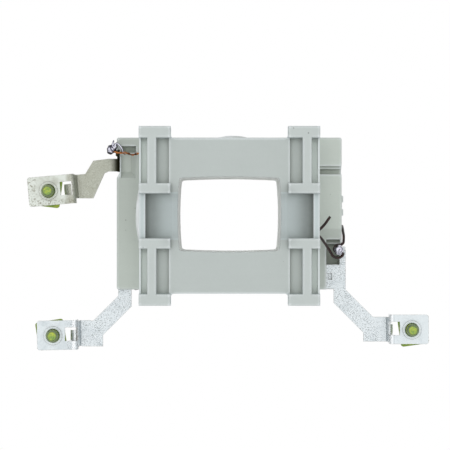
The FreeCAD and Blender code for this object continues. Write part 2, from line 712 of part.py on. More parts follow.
def make_upper_left_terminal():
    """Cranked arm whose end bends down into the notch of the left shoulder, with a solder tag."""
    name = "upper_left"
    clamp = make_clamp(name, "clamp_above", "clamp_below", "stub_above", "stub_below")
    body = doc.addObject("PartDesign::Body", name + "_arm")
    notch_floor = "(%s - <wall_notch>)" % HALF_FRONT
    bend_start = "(%s - <wall_notch> + <strip> + <bend_inside> + <root_clearance>)" % HALF_FRONT
    profile = new_sketch(body, name + "_bend", plane="XZ", level="-<upper_neck_low> - <upper_neck>")
    under = "<strip_level>"
    outline(profile, [("-" + bend_start, under), ("-%s - <strip>" % notch_floor, under),
                      ("-%s - <strip>" % notch_floor, "<root_foot>"), ("-" + notch_floor, "<root_foot>"),
                      ("-" + notch_floor, under + " + <strip>"), ("-" + bend_start, under + " + <strip>")])
    angle = pad(body, profile, "<upper_neck>")
    floor_x = -(half_front() - size("wall_notch"))
    level = size("strip_level")
    inner = edges_where(angle, lambda edge: along_bend(edge, floor_x - size("strip"), level))
    bent = soften(body, "Fillet", name + "_inner_bend", angle, inner, "<bend_inside>")
    outer = edges_where(bent, lambda edge: along_bend(edge, floor_x, level + size("strip")))
    soften(body, "Fillet", name + "_outer_bend", bent, outer, "<bend_inside> + <strip>")
    arm = new_sketch(body, name + "_arm_outline", level="<strip_level>")
    neck_top = "<upper_neck_low> + <upper_neck>"
    outline(arm, [
        (WALL + " - <upper_stub_end>", "<upper_stub_low>"),
        (WALL + " - <upper_neck_outer>", "<upper_stub_low>"),
        (WALL + " - <upper_neck_inner>", "<upper_neck_low> - <upper_neck_rise>"),
        (WALL + " - <upper_neck_start>", "<upper_neck_low>"), ("-" + bend_start, "<upper_neck_low>"),
        ("-" + bend_start, neck_top), (WALL + " - <upper_neck_start>", neck_top),
        (WALL + " - <upper_neck_outer>", neck_top + " - <upper_neck_rise>"),
        (WALL + " - <upper_neck_outer> - <upper_shoulder_run>", "<upper_stub_high>"),
        (WALL + " - <upper_stub_end>", "<upper_stub_high> - <upper_neck_rise> / 2"),
    ])
    pad(body, arm, "<strip>")
    leg = new_sketch(body, name + "_leg", plane="YZ", level="-" + notch_floor)
    bend_end = "<strip_level> - <bend_inside> - <root_clearance>"
    outline(leg, [
        ("<upper_neck_low>", "<root_foot>"), ("<upper_tag_end>", "<root_foot>"),
        ("<upper_tag_end>", "<tag_top>"), ("<upper_tag_end> - <tag_width>", "<tag_top>"),
        ("<upper_tag_end> - <tag_width>", bend_end), ("<upper_neck_low>", bend_end),
    ])
    pad(body, leg, "<strip>", backwards=True)
    return join_strip(name + "_terminal", [clamp, body])


def lower_arm_outline(name, side, root):
    """Arm from the shoulder's lower edge, cranked by 45 degrees and ending in a square stub."""
    outer = "(%s + <%s_outer>)" % (HALF_FRONT, name)
    inner = "(%s + <%s_inner>)" % (HALF_FRONT, name)
    knee = "(<front_bottom> + <%s_knee>)" % name
    inner_knee = "(<front_bottom> + <%s_inner_knee>)" % name
    corner = "(%s + <%s_corner>)" % (HALF_FRONT, name)
    stub_high = "(<front_bottom> + <%s_down> - <%s_stub_high>)" % (name, name)
    stub_low = "(<front_bottom> + <%s_down> + <%s_stub_low>)" % (name, name)
    stub_end = "(%s + <%s_out> - <%s_reach> - <bend_inside>)" % (HALF_FRONT, name, name)
    return root + [
        (side + inner, "-" + inner_knee),
        (side + corner, "-(%s + %s - %s)" % (inner_knee, corner, inner)),
        (side + corner, "-" + stub_low),
        (side + stub_end, "-" + stub_low),
        (side + stub_end, "-" + stub_high),
        ("%s(%s + %s - %s)" % (side, outer, stub_high, knee), "-" + stub_high),
        (side + outer, "-" + knee),
    ]


def make_lower_left_terminal():
    """Arm that runs into the slot of the left shoulder, with a solder ear in the bay beside it."""
    name = "lower_left"
    clamp = make_clamp(name, "clamp_above", "clamp_below", "lower_left_stub_high", "lower_left_stub_low")
    body = doc.addObject("PartDesign::Body", name + "_arm")
    depth = "(<front_bottom> - <root_depth>)"
    ear = LEFT_ROOT + " - <ear_length>"
    root = [
        ("-(%s + <lower_left_outer>)" % HALF_FRONT, "-" + depth), ("-" + LEFT_ROOT, "-" + depth),
        ("-" + LEFT_ROOT, "-(<front_bottom> - <ear_width> - <ear_inset>)"),
        ("-(%s)" % ear, "-(<front_bottom> - <ear_width> - <ear_inset>)"),
        ("-(%s)" % ear, "-(<front_bottom> - <ear_inset>)"),
        ("-" + LEFT_ROOT, "-(<front_bottom> - <ear_inset>)"),
    ]
    arm = new_sketch(body, name + "_arm_outline", level="<strip_level>")
    outline(arm, lower_arm_outline(name, "-", root))
    pad(body, arm, "<strip>")
    return join_strip(name + "_terminal", [clamp, body])


def make_lower_right_terminal():
    """L-shaped plate seated in the corner of the right shoulder, with a barb and a solder post."""
    name = "lower_right"
    clamp = make_clamp(name, "clamp_below", "clamp_above", "lower_right_stub_low", "lower_right_stub_high")
    body = doc.addObject("PartDesign::Body", name + "_arm")
    strip_left = "(%s - <post_wall>)" % HALF_FRONT
    root = [
        (HALF_FRONT + " + <lower_right_outer>", "-<post_level_y>"), (strip_left, "-<post_level_y>"),
        (strip_left, "-<plate_top>"), (POST_LEFT + " + <root_clearance>", "-<plate_top>"),
        (POST_LEFT + " + <root_clearance>", "-<front_bottom> + <ear_inset>"),
        (HALF_FRONT + " + <lower_right_inner>", "-<front_bottom> + <ear_inset>"),
    ]
    arm = new_sketch(body, name + "_arm_outline", level="<strip_level>")
    outline(arm, lower_arm_outline(name, "", root))
    pad(body, arm, "<strip>")
    post = new_sketch(body, name + "_post", plane="XZ", level="<post_level_y>")
    rectangle(post, strip_left + " + <root_clearance>", strip_left + " + <root_clearance> + <post_width>",
              "<strip_level>", "<tag_top>")
    pad(body, post, "<strip>", backwards=True)
    barb = new_sketch(body, name + "_barb_window", level="<strip_level> + <strip>")
    rectangle(barb, "%s - <barb_inset>" % HALF_FRONT, "%s - <barb_inset> + <barb_width>" % HALF_FRONT,
              "-<barb_low>", "-<barb_low> + <barb_height>")
    pocket(body, barb, "<strip> * 0.6")
    return join_strip(name + "_terminal", [clamp, body])


# Clamp screws and their square washers

HEAD_TOP = "(<strip_level> + <joggle_rise> - <washer_thickness>)"


def make_screw(name):
    """Slotted pan head screw with its head on the front side and a chamfered tip."""
    body = new_body(name + "_clamp_screw")
    profile = new_sketch(body, name + "_screw_profile", plane="XZ")
    shank = "<thread> / 2"
    head = "<head_width> / 2"
    tip = HEAD_TOP + " + <screw_length>"
    under = HEAD_TOP + " - <head_height>"
    axis = "<root_clearance> / 1000"
    outline(profile, [(axis, under), (head + " - <head_crown>", under), (head, under + " + <head_crown>"),
                      (head, HEAD_TOP), (shank, HEAD_TOP), (shank, tip + " - <tip_chamfer>"),
                      (shank + " - <tip_chamfer>", tip), (axis, tip)])
    turned = body.newObject("PartDesign::Revolution", name + "_screw_turned")
    turned.Profile = profile
    turned.ReferenceAxis = (profile, ["V_Axis"])
    turned.Angle = 360
    slot = new_sketch(body, name + "_driver_slot", level=under)
    rectangle(slot, "-<head_width>", "<head_width>", "-<driver_slot> / 2", "<driver_slot> / 2")
    pocket(body, slot, "<driver_depth>", backwards=True)
    place_at_clamp(body, name)
    bind(body, "Placement.Rotation.Angle", "<%s_driver>" % name)


def make_washer(name):
    body = new_body(name + "_clamp_washer")
    square = new_sketch(body, name + "_washer_square", level=HEAD_TOP)
    rectangle(square, "-<washer_side> / 2", "<washer_side> / 2", "-<washer_side> / 2", "<washer_side> / 2")
    plate = pad(body, square, "<washer_thickness>")
    soften(body, "Fillet", name + "_washer_corners", plate, edges_where(plate, upright), "<washer_corner>")
    bore = new_sketch(body, name + "_washer_bore")
    circle(bore, "<washer_bore>")
    pocket(body, bore, backwards=True)
    place_at_clamp(body, name, " + <%s_washer_right>" % name, " - <%s_washer_drop>" % name)
    bind(body, "Placement.Rotation.Angle", "<%s_washer>" % name)


# Leads and solder joints. A blob's seam is turned away from the tag and the leads in it.

SEAM_TURN = 205
SEAM_TILT = 35

def rounded_path(points):
    """Straight runs joined by tangent arcs, each as large as its two runs allow."""
    edges = []
    begin = points[0]
    for k in range(1, len(points) - 1):
        before = points[k] - points[k - 1]
        after = points[k + 1] - points[k]
        half_turn = before.getAngle(after) / 2
        trim = 0.45 * min(before.Length, after.Length)
        radius = trim / math.tan(half_turn)
        into = before.normalize()
        out = after.normalize()
        start = points[k] - into * trim
        end = points[k] + out * trim
        inward = (out - into).normalize()
        middle = points[k] + inward * (radius / math.cos(half_turn) - radius)
        edges.append(Part.LineSegment(begin, start).toShape())
        edges.append(Part.Arc(start, middle, end).toShape())
        begin = end
    edges.append(Part.LineSegment(begin, points[-1]).toShape())
    return Part.Wire(edges)


def make_lead(name, diameter, points):
    path = rounded_path([FreeCAD.Vector(*point) for point in points])
    first = path.Edges[0]
    ring = Part.Wire(Part.Circle(first.Vertexes[0].Point, first.tangentAt(0), diameter / 2).toShape())
    tube = path.makePipeShell([ring], True, True)
    lead = doc.addObject("Part::Feature", name)
    lead.Label = name
    lead.Shape = tube
    expected = math.pi * diameter ** 2 / 4 * path.Length
    print("%s: length %.2f mm, volume %.3f of %.3f" % (name, path.Length, tube.Volume, expected))
    return lead


def make_solder(name, place, terminal, leads):
    """Blob of solder round a tag, cut to fit the strip and the ends of the leads in it."""
    blob = doc.addObject("Part::Sphere", name + "_blob")
    bind(blob, "Radius", "<%s> / 2" % name)
    blob.Placement = FreeCAD.Placement(FreeCAD.Vector(*place), FreeCAD.Rotation(SEAM_TURN, SEAM_TILT, 0))
    for inside in [terminal] + leads:
        fitted = doc.addObject("Part::Cut", name + "_round_" + inside.Name)
        fitted.Base = blob
        fitted.Tool = inside
        blob = fitted
    blob.Label = name


def make_leads(terminals):
    strip = size("strip")
    face = size("front_depth")
    edge = half_front()
    belt = size("rear_width") / 2
    tag_x = -edge + size("wall_notch")
    tag_y = size("upper_tag_end")
    top = size("tag_top")
    corner_x = -size("wrap_width") / 2 - size("wrap_lean")
    corner_y = size("wrap_height") / 2
    sag = size("start_sag")
    reach = tag_x - corner_x
    start = make_lead("start_lead", size("start_strand"), [
        (corner_x + reach * 0.14, corner_y - sag * 2.33, face + size("start_rise")),
        (corner_x + reach * 0.366, corner_y - sag * 0.89, face + size("start_rise") - sag * 1.33),
        (corner_x + reach * 0.604, corner_y - sag * 0.44, top + sag * 0.9),
        (corner_x + reach * 0.84, corner_y, top + sag * 0.55),
        (tag_x, tag_y - strip * 0.7, top + strip * 0.6),
        (tag_x - strip * 1.3, tag_y - strip * 0.5, top + strip * 0.3),
    ])
    turn = size("post_turn")
    post_x = edge - size("post_wall") + size("root_clearance")
    post_y = -size("post_level_y")
    tape_x = size("wrap_width") / 2 - size("wrap_lean") + size("wrap_side_bow")
    tail = size("tail_reach")
    finish = make_lead("finish_lead", size("lead"), [
        (tape_x + tail * 1.04, post_y + tail * 2.72, face + tail * 2.99),
        (tape_x + tail * 0.52, post_y + tail * 1.97, face + tail * 2.93),
        (tape_x - tail * 0.14, post_y + tail * 1.42, face + tail * 2.78),
        (tape_x + tail * 0.4, post_y + tail * 0.96, face + tail * 2.38),
        (tape_x + tail * 0.81, post_y + tail * 0.41, face + tail * 1.48),
        (post_x - turn * 1.24, post_y - turn * 0.26, top - turn * 0.09),
        (post_x - turn * 0.89, post_y - turn * 0.83, top - turn * 0.48),
        (post_x - turn * 0.2, post_y - turn, top - turn * 0.61),
        (post_x + turn * 0.37, post_y - turn * 0.57, top - turn * 0.48),
        (post_x + turn * 0.11, post_y - turn * 0.22, top - turn * 0.26),
    ])
    low = size("channel_depth") / 2
    notch_y = -size("jumper_notch_low") + size("channel_width") / 2
    channel_y = -size("channel_low") + size("channel_width") / 2
    ear_x = -edge + size("left_root_inset")
    ear_y = -size("front_bottom")
    lead = size("lead")
    jumper = make_lead("jumper_lead", lead, [
        (post_x - turn * 0.37, post_y - turn * 0.39, top - turn * 0.3),
        (post_x - turn * 0.85, post_y, top - turn * 0.39),
        (post_x - turn * 0.63, post_y + turn * 0.61, top - turn * 0.52),
        (post_x + turn * 0.35, post_y + turn * 0.67, top - turn * 0.7),
        (edge + lead, post_y + turn * 1.65, face),
        (edge + lead * 0.83, notch_y - lead * 2, face - turn * 1.48),
        (edge + lead, notch_y - lead * 0.3, low + lead * 0.5),
        (edge - lead * 2.5, notch_y, low),
        (edge - lead * 5.8, notch_y - lead * 1.2, low),
        (belt + lead * 4.4, notch_y * 0.55 + channel_y * 0.45, low),
        (belt + lead * 2.75, channel_y + lead * 2.8, low),
        (belt + lead * 0.1, channel_y, low),
        (belt * 0.75, channel_y, low + lead * 0.2),
        (belt * 0.28, channel_y + lead * 0.5, low + lead * 0.3),
        (-belt * 0.24, channel_y - lead * 0.2, low + lead * 0.3),
        (-belt * 0.71, channel_y + lead * 0.3, low + lead * 0.3),
        (ear_x + lead * 6.3, channel_y - lead * 0.3, low + lead * 0.3),
        (ear_x + lead * 2.8, channel_y - lead * 1.8, low + lead * 0.5),
        (ear_x + lead * 2, ear_y + lead * 2.2, low + lead * 3.7),
        (ear_x + lead * 2.1, ear_y + lead * 1.3, size("strip_level") - strip * 0.8),
    ])
    make_solder("upper_left_solder", (tag_x - strip * 1.7, tag_y + strip * 0.25, top - strip * 0.65),
                terminals[0], [start])
    make_solder("lower_right_solder", (post_x - strip * 0.35, post_y, top - strip * 0.4),
                terminals[2], [finish, jumper])
    make_solder("lower_left_solder", (ear_x + strip * 1.35, ear_y + strip * 0.6,
                                      size("strip_level") - strip * 0.45), terminals[1], [jumper])


# Assembly, checks and export

def parts_to_write():
    return [item for item in doc.Objects
            if item.Label in NODES and item.TypeId != "Spreadsheet::Sheet"]


SIDES = ["upper_left", "lower_left", "lower_right"]
NODES = ["bobbin", "winding", "winding_tape", "start_lead", "finish_lead", "jumper_lead"]
NODES += [side + ending for side in SIDES
          for ending in ("_terminal", "_clamp_screw", "_clamp_washer", "_solder")]

make_bobbin()
make_winding()
make_tape()
strips = [make_upper_left_terminal(), make_lower_left_terminal(), make_lower_right_terminal()]
for side in SIDES:
    make_screw(side)
    make_washer(side)
doc.recompute()
make_leads(strips)
doc.recompute()

failed = [item for item in doc.Objects if "Invalid" in item.State or "Error" in item.State]
for item in failed:
    print("%s failed: %s %s" % (item.Name, item.State, item.getStatusString()))
if failed:
    raise RuntimeError("%d objects failed" % len(failed))
written = parts_to_write()
for item in written:
    if item.Shape.isNull() or not item.Shape.isValid() or not item.Shape.Solids:
        raise RuntimeError("%s has no valid solid" % item.Label)
os.makedirs("parts", exist_ok=True)
for item in written:
    item.Shape.exportStep("parts/%s.step" % item.Label)
    box = item.Shape.BoundBox
    print("%-24s %9.2f mm3, X %.2f to %.2f, Y %.2f to %.2f, Z %.2f to %.2f"
          % (item.Label, item.Shape.Volume, box.XMin, box.XMax, box.YMin, box.YMax, box.ZMin, box.ZMax))
print("%d parts written" % len(written))
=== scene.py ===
import math

import bmesh
import bpy
import numpy as np
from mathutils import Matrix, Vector, noise


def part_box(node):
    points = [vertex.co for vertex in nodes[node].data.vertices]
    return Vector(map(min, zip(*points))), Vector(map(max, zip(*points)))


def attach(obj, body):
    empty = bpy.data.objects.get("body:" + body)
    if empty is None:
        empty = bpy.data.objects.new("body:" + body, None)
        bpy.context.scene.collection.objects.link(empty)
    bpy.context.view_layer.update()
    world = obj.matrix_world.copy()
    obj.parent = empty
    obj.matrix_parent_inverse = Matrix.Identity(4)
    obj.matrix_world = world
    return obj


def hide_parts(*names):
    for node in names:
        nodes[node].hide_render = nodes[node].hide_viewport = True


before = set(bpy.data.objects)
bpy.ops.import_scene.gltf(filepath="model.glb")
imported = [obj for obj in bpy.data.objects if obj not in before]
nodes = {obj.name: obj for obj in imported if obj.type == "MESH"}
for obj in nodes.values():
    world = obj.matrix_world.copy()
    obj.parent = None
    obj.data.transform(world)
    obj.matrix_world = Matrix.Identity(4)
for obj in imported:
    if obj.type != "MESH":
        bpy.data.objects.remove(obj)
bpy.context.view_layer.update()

scene = bpy.context.scene
milli = 0.001  # shapes are worked out in millimetres and brought to metres by finishPiece
fullTurn = 2 * math.pi


# Mesh helpers

def ringFaces(rows, columns, start=0, closed=False):
    # Quads between neighbouring rings of a grid whose rings close on themselves
    row, column = np.meshgrid(np.arange(rows if closed else rows - 1), np.arange(columns), indexing="ij")
    beside = (column + 1) % columns
    here = start + row * columns
    there = start + (row + 1) % rows * columns
    quads = np.stack([here + column, here + beside, there + beside, there + column], axis=-1)
    return quads.reshape(-1, 4).tolist()


def capFaces(rows, columns, start=0):
    last = start + (rows - 1) * columns
    return [list(range(start, start + columns)), list(range(last, last + columns))]


def makeObject(name, points, faces):
    mesh = bpy.data.meshes.new(name)
    mesh.from_pydata(np.asarray(points, float).tolist(), [], faces)
    work = bmesh.new()
    work.from_mesh(mesh)
    bmesh.ops.recalc_face_normals(work, faces=work.faces)
    work.to_mesh(mesh)
    work.free()
    piece = bpy.data.objects.new(name, mesh)
    scene.collection.objects.link(piece)
    return piece


def readPoints(mesh):
    flat = np.empty(len(mesh.vertices) * 3)
    mesh.vertices.foreach_get("co", flat)
    return flat.reshape(-1, 3)


def bakeModifiers(piece):
    shown = piece.evaluated_get(bpy.context.evaluated_depsgraph_get())
    mesh = bpy.data.meshes.new_from_object(shown)
    piece.modifiers.clear()
    piece.data = mesh


def finishPiece(piece, node, sharpAngle=None, replacing=True):
    mesh = piece.data
    mesh.vertices.foreach_set("co", (readPoints(mesh) * milli).ravel())
    mesh.shade_smooth()
    if sharpAngle:
        mesh.set_sharp_from_angle(angle=math.radians(sharpAngle))
    mesh.materials.clear()
    mesh.materials.append(finishes[node])
    mesh.update()
    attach(piece, "root")
    if replacing:
        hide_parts(node)


def boxOf(node):
    low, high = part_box(node)
    return np.array(low) / milli, np.array(high) / milli


def noiseAt(places):
    # The noise function takes one place at a time
    flat = np.reshape(places, (-1, 3))
    values = np.array([noise.noise(Vector(place)) for place in flat])
    return values.reshape(np.shape(places)[:-1])


def tangentsOf(line):
    tangents = np.gradient(line, axis=0)
    return tangents / np.linalg.norm(tangents, axis=1)[:, None]


def smoothPath(points, steps):
    # Catmull-Rom curve: each span is a cubic through its two knots, led by the knots beside them
    knots = np.array([points[0], *points, points[-1]], float)
    t = (np.arange(steps) / steps)[None, :, None]
    a, b, c, d = (knots[k:len(knots) - 3 + k, None, :] for k in range(4))
    square, cube = 2 * a - 5 * b + 4 * c - d, 3 * b - a - 3 * c + d
    spans = 0.5 * (2 * b + (c - a) * t + square * t ** 2 + cube * t ** 3)
    return np.vstack([spans.reshape(-1, 3), knots[-2:-1]])


def sweepTube(line, radii, columns=16, start=0):
    # A circle carried along the line; its side vector is squared to each tangent, so it doesn't twist
    tangents = tangentsOf(line)
    side = np.cross(tangents[0], (0.0, 0.0, 1.0))
    if np.linalg.norm(side) < 0.1:
        side = np.cross(tangents[0], (0.0, 1.0, 0.0))
    angles = np.linspace(0, fullTurn, columns, endpoint=False)
    circle = np.stack([np.cos(angles), np.sin(angles)], axis=1)
    rings = []
    for centre, tangent, radius in zip(line, tangents, radii):
        side = side - tangent * np.dot(side, tangent)
        side /= np.linalg.norm(side)
        rings.append(centre + radius * circle @ np.stack([side, np.cross(tangent, side)]))
    rows = len(line)
    return np.vstack(rings), ringFaces(rows, columns, start) + capFaces(rows, columns, start)


def lumpySphere(centre, radii, lump, grain, seed, start=0, rows=30, columns=40):
    # An ellipsoid whose radius swells and sinks with smooth noise over its directions
    tilts = math.pi * (np.arange(rows) + 0.5) / rows
    tilt, turn = np.meshgrid(tilts, fullTurn * np.arange(columns) / columns, indexing="ij")
    ways = np.stack([np.sin(tilt) * np.cos(turn), np.sin(tilt) * np.sin(turn), np.cos(tilt)], axis=-1)
    swell = 1 + lump * noiseAt(ways * grain + np.array([seed, seed * 2.0, -seed]))
    points = np.array(centre) + np.array(radii) * ways * swell[..., None]
    return points.reshape(-1, 3), ringFaces(rows, columns, start) + capFaces(rows, columns, start)


# Shader helpers

def tone(red, green, blue):
    # A colour as it shows on screen, brought to the linear light that shaders use
    shown = np.array([red, green, blue]) / 255
    linear = np.where(shown <= 0.04045, shown / 12.92, ((shown + 0.055) / 1.055) ** 2.4)
    return (*linear.tolist(), 1.0)


def tonesOf(look):
    return {key: tone(*value) for key, value in look.items() if isinstance(value, tuple)}


def feed(tree, node, feeds):
    for key, value in feeds.items():
        if isinstance(value, bpy.types.NodeSocket):
            tree.links.new(value, node.inputs[key])
        else:
            node.inputs[key].default_value = value
    return node


def addNode(tree, kind, settings, feeds):
    node = tree.nodes.new(kind)
    for key, value in settings.items():
        setattr(node, key, value)
    return feed(tree, node, feeds)


def useGroup(tree, group, feeds):
    return addNode(tree, "ShaderNodeGroup", {"node_tree": group}, feeds)


def calc(tree, operation, one, other=0.0, clamp=False):
    node = addNode(tree, "ShaderNodeMath", {"operation": operation, "use_clamp": clamp}, {0: one, 1: other})
    return node.outputs[0]


def ramp(tree, value, low, high, first, last):
    node = addNode(tree, "ShaderNodeMapRange", {"interpolation_type": "SMOOTHSTEP"},
                   {"Value": value, "From Min": low, "From Max": high, "To Min": first, "To Max": last})
    return node.outputs[0]


def rise(tree, value, low, high):
    return ramp(tree, value, low, high, 0.0, 1.0)


def fall(tree, value, low, high):
    return ramp(tree, value, low, high, 1.0, 0.0)


def band(tree, value, low, high, soft):
    return calc(tree, "MULTIPLY", rise(tree, value, low - soft, low + soft),
                fall(tree, value, high - soft, high + soft))


def allOf(tree, *masks):
    result = masks[0]
    for mask in masks[1:]:
        result = calc(tree, "MULTIPLY", result, mask)
    return result


def eitherOf(tree, one, other):
    return calc(tree, "MAXIMUM", one, other)


def away(tree, value, centre=0.0):
    return calc(tree, "ABSOLUTE", calc(tree, "SUBTRACT", value, centre))


def sway(tree, value, amount):
    return calc(tree, "MULTIPLY", calc(tree, "SUBTRACT", value, 0.5), amount)


def mixTone(tree, factor, one, other, mode="MIX"):
    node = addNode(tree, "ShaderNodeMix", {"data_type": "RGBA", "blend_type": mode},
                   {0: factor, 6: one, 7: other})
    return node.outputs[2]


def scaled(tree, colour, level):
    grey = addNode(tree, "ShaderNodeCombineColor", {}, {0: level, 1: level, 2: level}).outputs[0]
    return mixTone(tree, 1.0, colour, grey, "MULTIPLY")


def gain(tree, colour, mask, amount):
    return scaled(tree, colour, calc(tree, "ADD", 1.0, calc(tree, "MULTIPLY", mask, amount - 1.0)))


def cloud(tree, vector, scale, detail=3.0, roughness=0.55):
    node = addNode(tree, "ShaderNodeTexNoise", {},
                   {"Vector": vector, "Scale": scale, "Detail": detail, "Roughness": roughness})
    return node.outputs[0]


def stretched(tree, vector, amounts, turn=0.0):
    node = addNode(tree, "ShaderNodeMapping", {},
                   {"Vector": vector, "Scale": amounts, "Rotation": (0.0, 0.0, math.radians(turn))})
    return node.outputs[0]


def bump(tree, height, distance, strength=1.0, normal=None):
    feeds = {"Height": height, "Distance": distance, "Strength": strength}
    if normal:
        feeds["Normal"] = normal
    return addNode(tree, "ShaderNodeBump", {}, feeds).outputs[0]


def upwards(tree):
    flat = tree.nodes.new("ShaderNodeNewGeometry")
    return addNode(tree, "ShaderNodeSeparateXYZ", {}, {0: flat.outputs["Normal"]}).outputs[2]


def newGroup(name, inputs, outputs):
    tree = bpy.data.node_groups.new(name, "ShaderNodeTree")
    for direction, sockets in (("INPUT", inputs), ("OUTPUT", outputs)):
        for label, kind in sockets.items():
            tree.interface.new_socket(name=label, in_out=direction, socket_type="NodeSocket" + kind)
    return tree, tree.nodes.new("NodeGroupInput"), tree.nodes.new("NodeGroupOutput")


def makeEdgeGroup():
    # Softened normals along sharp edges, and a mask where they leave the flat ones
    tree, given, result = newGroup("roundedEdges", {"Radius": "Float", "Gain": "Float"},
                                   {"Mask": "Float", "Normal": "Vector"})
    soft = addNode(tree, "ShaderNodeBevel", {"samples": 6}, {"Radius": given.outputs[0]})
    flat = tree.nodes.new("ShaderNodeNewGeometry")
    match = addNode(tree, "ShaderNodeVectorMath", {"operation": "DOT_PRODUCT"},
                    {0: soft.outputs[0], 1: flat.outputs["Normal"]})
    turned = calc(tree, "SUBTRACT", 1.0, match.outputs["Value"])
    tree.links.new(calc(tree, "MULTIPLY", turned, given.outputs[1], True), result.inputs[0])
    tree.links.new(soft.outputs[0], result.inputs[1])
    return tree


def makeCornerGroup():
    # Ridges are found by looking inwards from the surface, hollows by looking outwards
    tree, given, result = newGroup("cornerShade", {"Outside": "Float", "Inside": "Float"},
                                   {"Ridge": "Float", "Hollow": "Float"})
    inner = addNode(tree, "ShaderNodeAmbientOcclusion", {"inside": True, "only_local": True, "samples": 8},
                    {"Distance": given.outputs[1]})
    outer = addNode(tree, "ShaderNodeAmbientOcclusion", {"inside": False, "only_local": True, "samples": 8},
                    {"Distance": given.outputs[0]})
    tree.links.new(fall(tree, inner.outputs["AO"], 0.5, 0.9), result.inputs[0])
    tree.links.new(fall(tree, outer.outputs["AO"], 0.35, 0.95), result.inputs[1])
    return tree


def makePlaceGroup():
    tree, given, result = newGroup("placeInMillimetres", {},
                                   {"Vector": "Vector", "X": "Float", "Y": "Float", "Z": "Float"})
    own = tree.nodes.new("ShaderNodeTexCoord")
    inMillimetres = addNode(tree, "ShaderNodeVectorMath", {"operation": "SCALE"},
                            {0: own.outputs["Object"], "Scale": 1 / milli})
    split = addNode(tree, "ShaderNodeSeparateXYZ", {}, {0: inMillimetres.outputs[0]})
    tree.links.new(inMillimetres.outputs[0], result.inputs[0])
    for k in range(3):
        tree.links.new(split.outputs[k], result.inputs[k + 1])
    return tree


def makeSpeckGroup():
    # A round dot in a few of the cells, each of its own size
    tree, given, result = newGroup("specks", {"Vector": "Vector", "Scale": "Float", "Cover": "Float"},
                                   {"Mask": "Float"})
    cells = addNode(tree, "ShaderNodeTexVoronoi", {"feature": "F1"},
                    {"Vector": given.outputs[0], "Scale": given.outputs[1]})
    shade = addNode(tree, "ShaderNodeSeparateColor", {}, {0: cells.outputs["Color"]})
    chosen = calc(tree, "LESS_THAN", shade.outputs[0], given.outputs[2])
    size = calc(tree, "MULTIPLY", shade.outputs[1], 0.34)
    dot = rise(tree, calc(tree, "SUBTRACT", size, cells.outputs["Distance"]), -0.03, 0.05)
    tree.links.new(calc(tree, "MULTIPLY", chosen, dot), result.inputs[0])
    return tree


edgeGroup = makeEdgeGroup()
cornerGroup = makeCornerGroup()
placeGroup = makePlaceGroup()
speckGroup = makeSpeckGroup()


def startMaterial(name):
    # The last value holds the place in millimetres: vector, x, y and z
    material = bpy.data.materials.new(name)
    material.use_nodes = True
    tree = material.node_tree
    tree.nodes.clear()
    surface = tree.nodes.new("ShaderNodeBsdfPrincipled")
    output = tree.nodes.new("ShaderNodeOutputMaterial")
    tree.links.new(surface.outputs[0], output.inputs[0])
    return material, tree, surface, useGroup(tree, placeGroup, {}).outputs


print("frame loaded:", len(nodes), "nodes")


# Bobbin: pale grey moulded plastic, with light and shade painted in by region

# Painted light and shade among these colours: darker lower levels, lit ridges and window walls, and shaded
# hollows, pockets, dishes and recesses
plasticLook = {
    "base": (201, 210, 208), "low": (190, 196, 187), "edge": (234, 238, 237), "hollow": (124, 128, 120),
    "pocket": (255, 249, 243), "pad": (255, 251, 248), "paintedDishShade": (154, 152, 138), "recess": (150, 152, 136),
    "wall": (238, 240, 236), "speck": (84, 82, 70),
    "ridgeReach": 0.0010, "hollowReach": 0.0016, "ridgeShare": 0.8, "hollowShare": 0.34,
    "speckSize": 1.5, "speckCover": 0.012, "roughness": 0.46, "grainDepth": 0.00005,
}
# Where the painted light and shade and the tints begin and end, in millimetres: across and middle are
# distances from the centre lines
plasticPlaces = {
    "centreLine": -0.43, "depth": (12.0, 30.0), "padTop": (33.2, 33.6),
    "pocketLevel": (29.0, 32.6), "pocketStart": (6.4, 6.6), "pocketEnd": (20.9, 21.2), "web": (20.4, 20.6),
    "dishEnd": (5.9, 6.2), "dishFoot": (27.6, 28.2), "dishTop": (31.2, 31.6), "bar": 22.86,
    "dishShade": (16.0, 21.0), "shadeSlope": (15.6, 23.2), "shadeEnds": (3.0, 6.2),
    "windowSide": (14.3, 14.6), "windowEnd": (10.4, 10.6), "rimSide": (16.0, 20.0), "rimEnd": (5.0, 9.6),
    "lipSide": (14.9, 15.4), "lipEnd": (10.9, 11.4),
    "shoulderTop": (10.3, 10.8), "recessLevel": (9.7, 9.9), "lowerLeft": (-14.0, 2.0),
    "recessSide": (-26.5, -26.0), "recessSpan": (10.0, 19.6), "recessWallLight": (17.2, 19.4),
    "postSide": (27.0, 27.4), "postSpan": (-14.2, -6.9), "edgeSide": (25.0, 25.4), "edgeEnd": (-4.4, -3.6),
}
# Brightness by region, standing in for light and shade: above 1 is painted light, below 1 is painted shade
plasticGains = {
    "outerPocket": 1.24, "innerPocket": 0.92, "rightShoulder": 1.2, "lowerLeft": 1.1, "dish": 0.6, "rim": 0.8,
    "leftRecess": 1.02, "recessWallLight": 1.4, "rightEdge": 0.86,
}


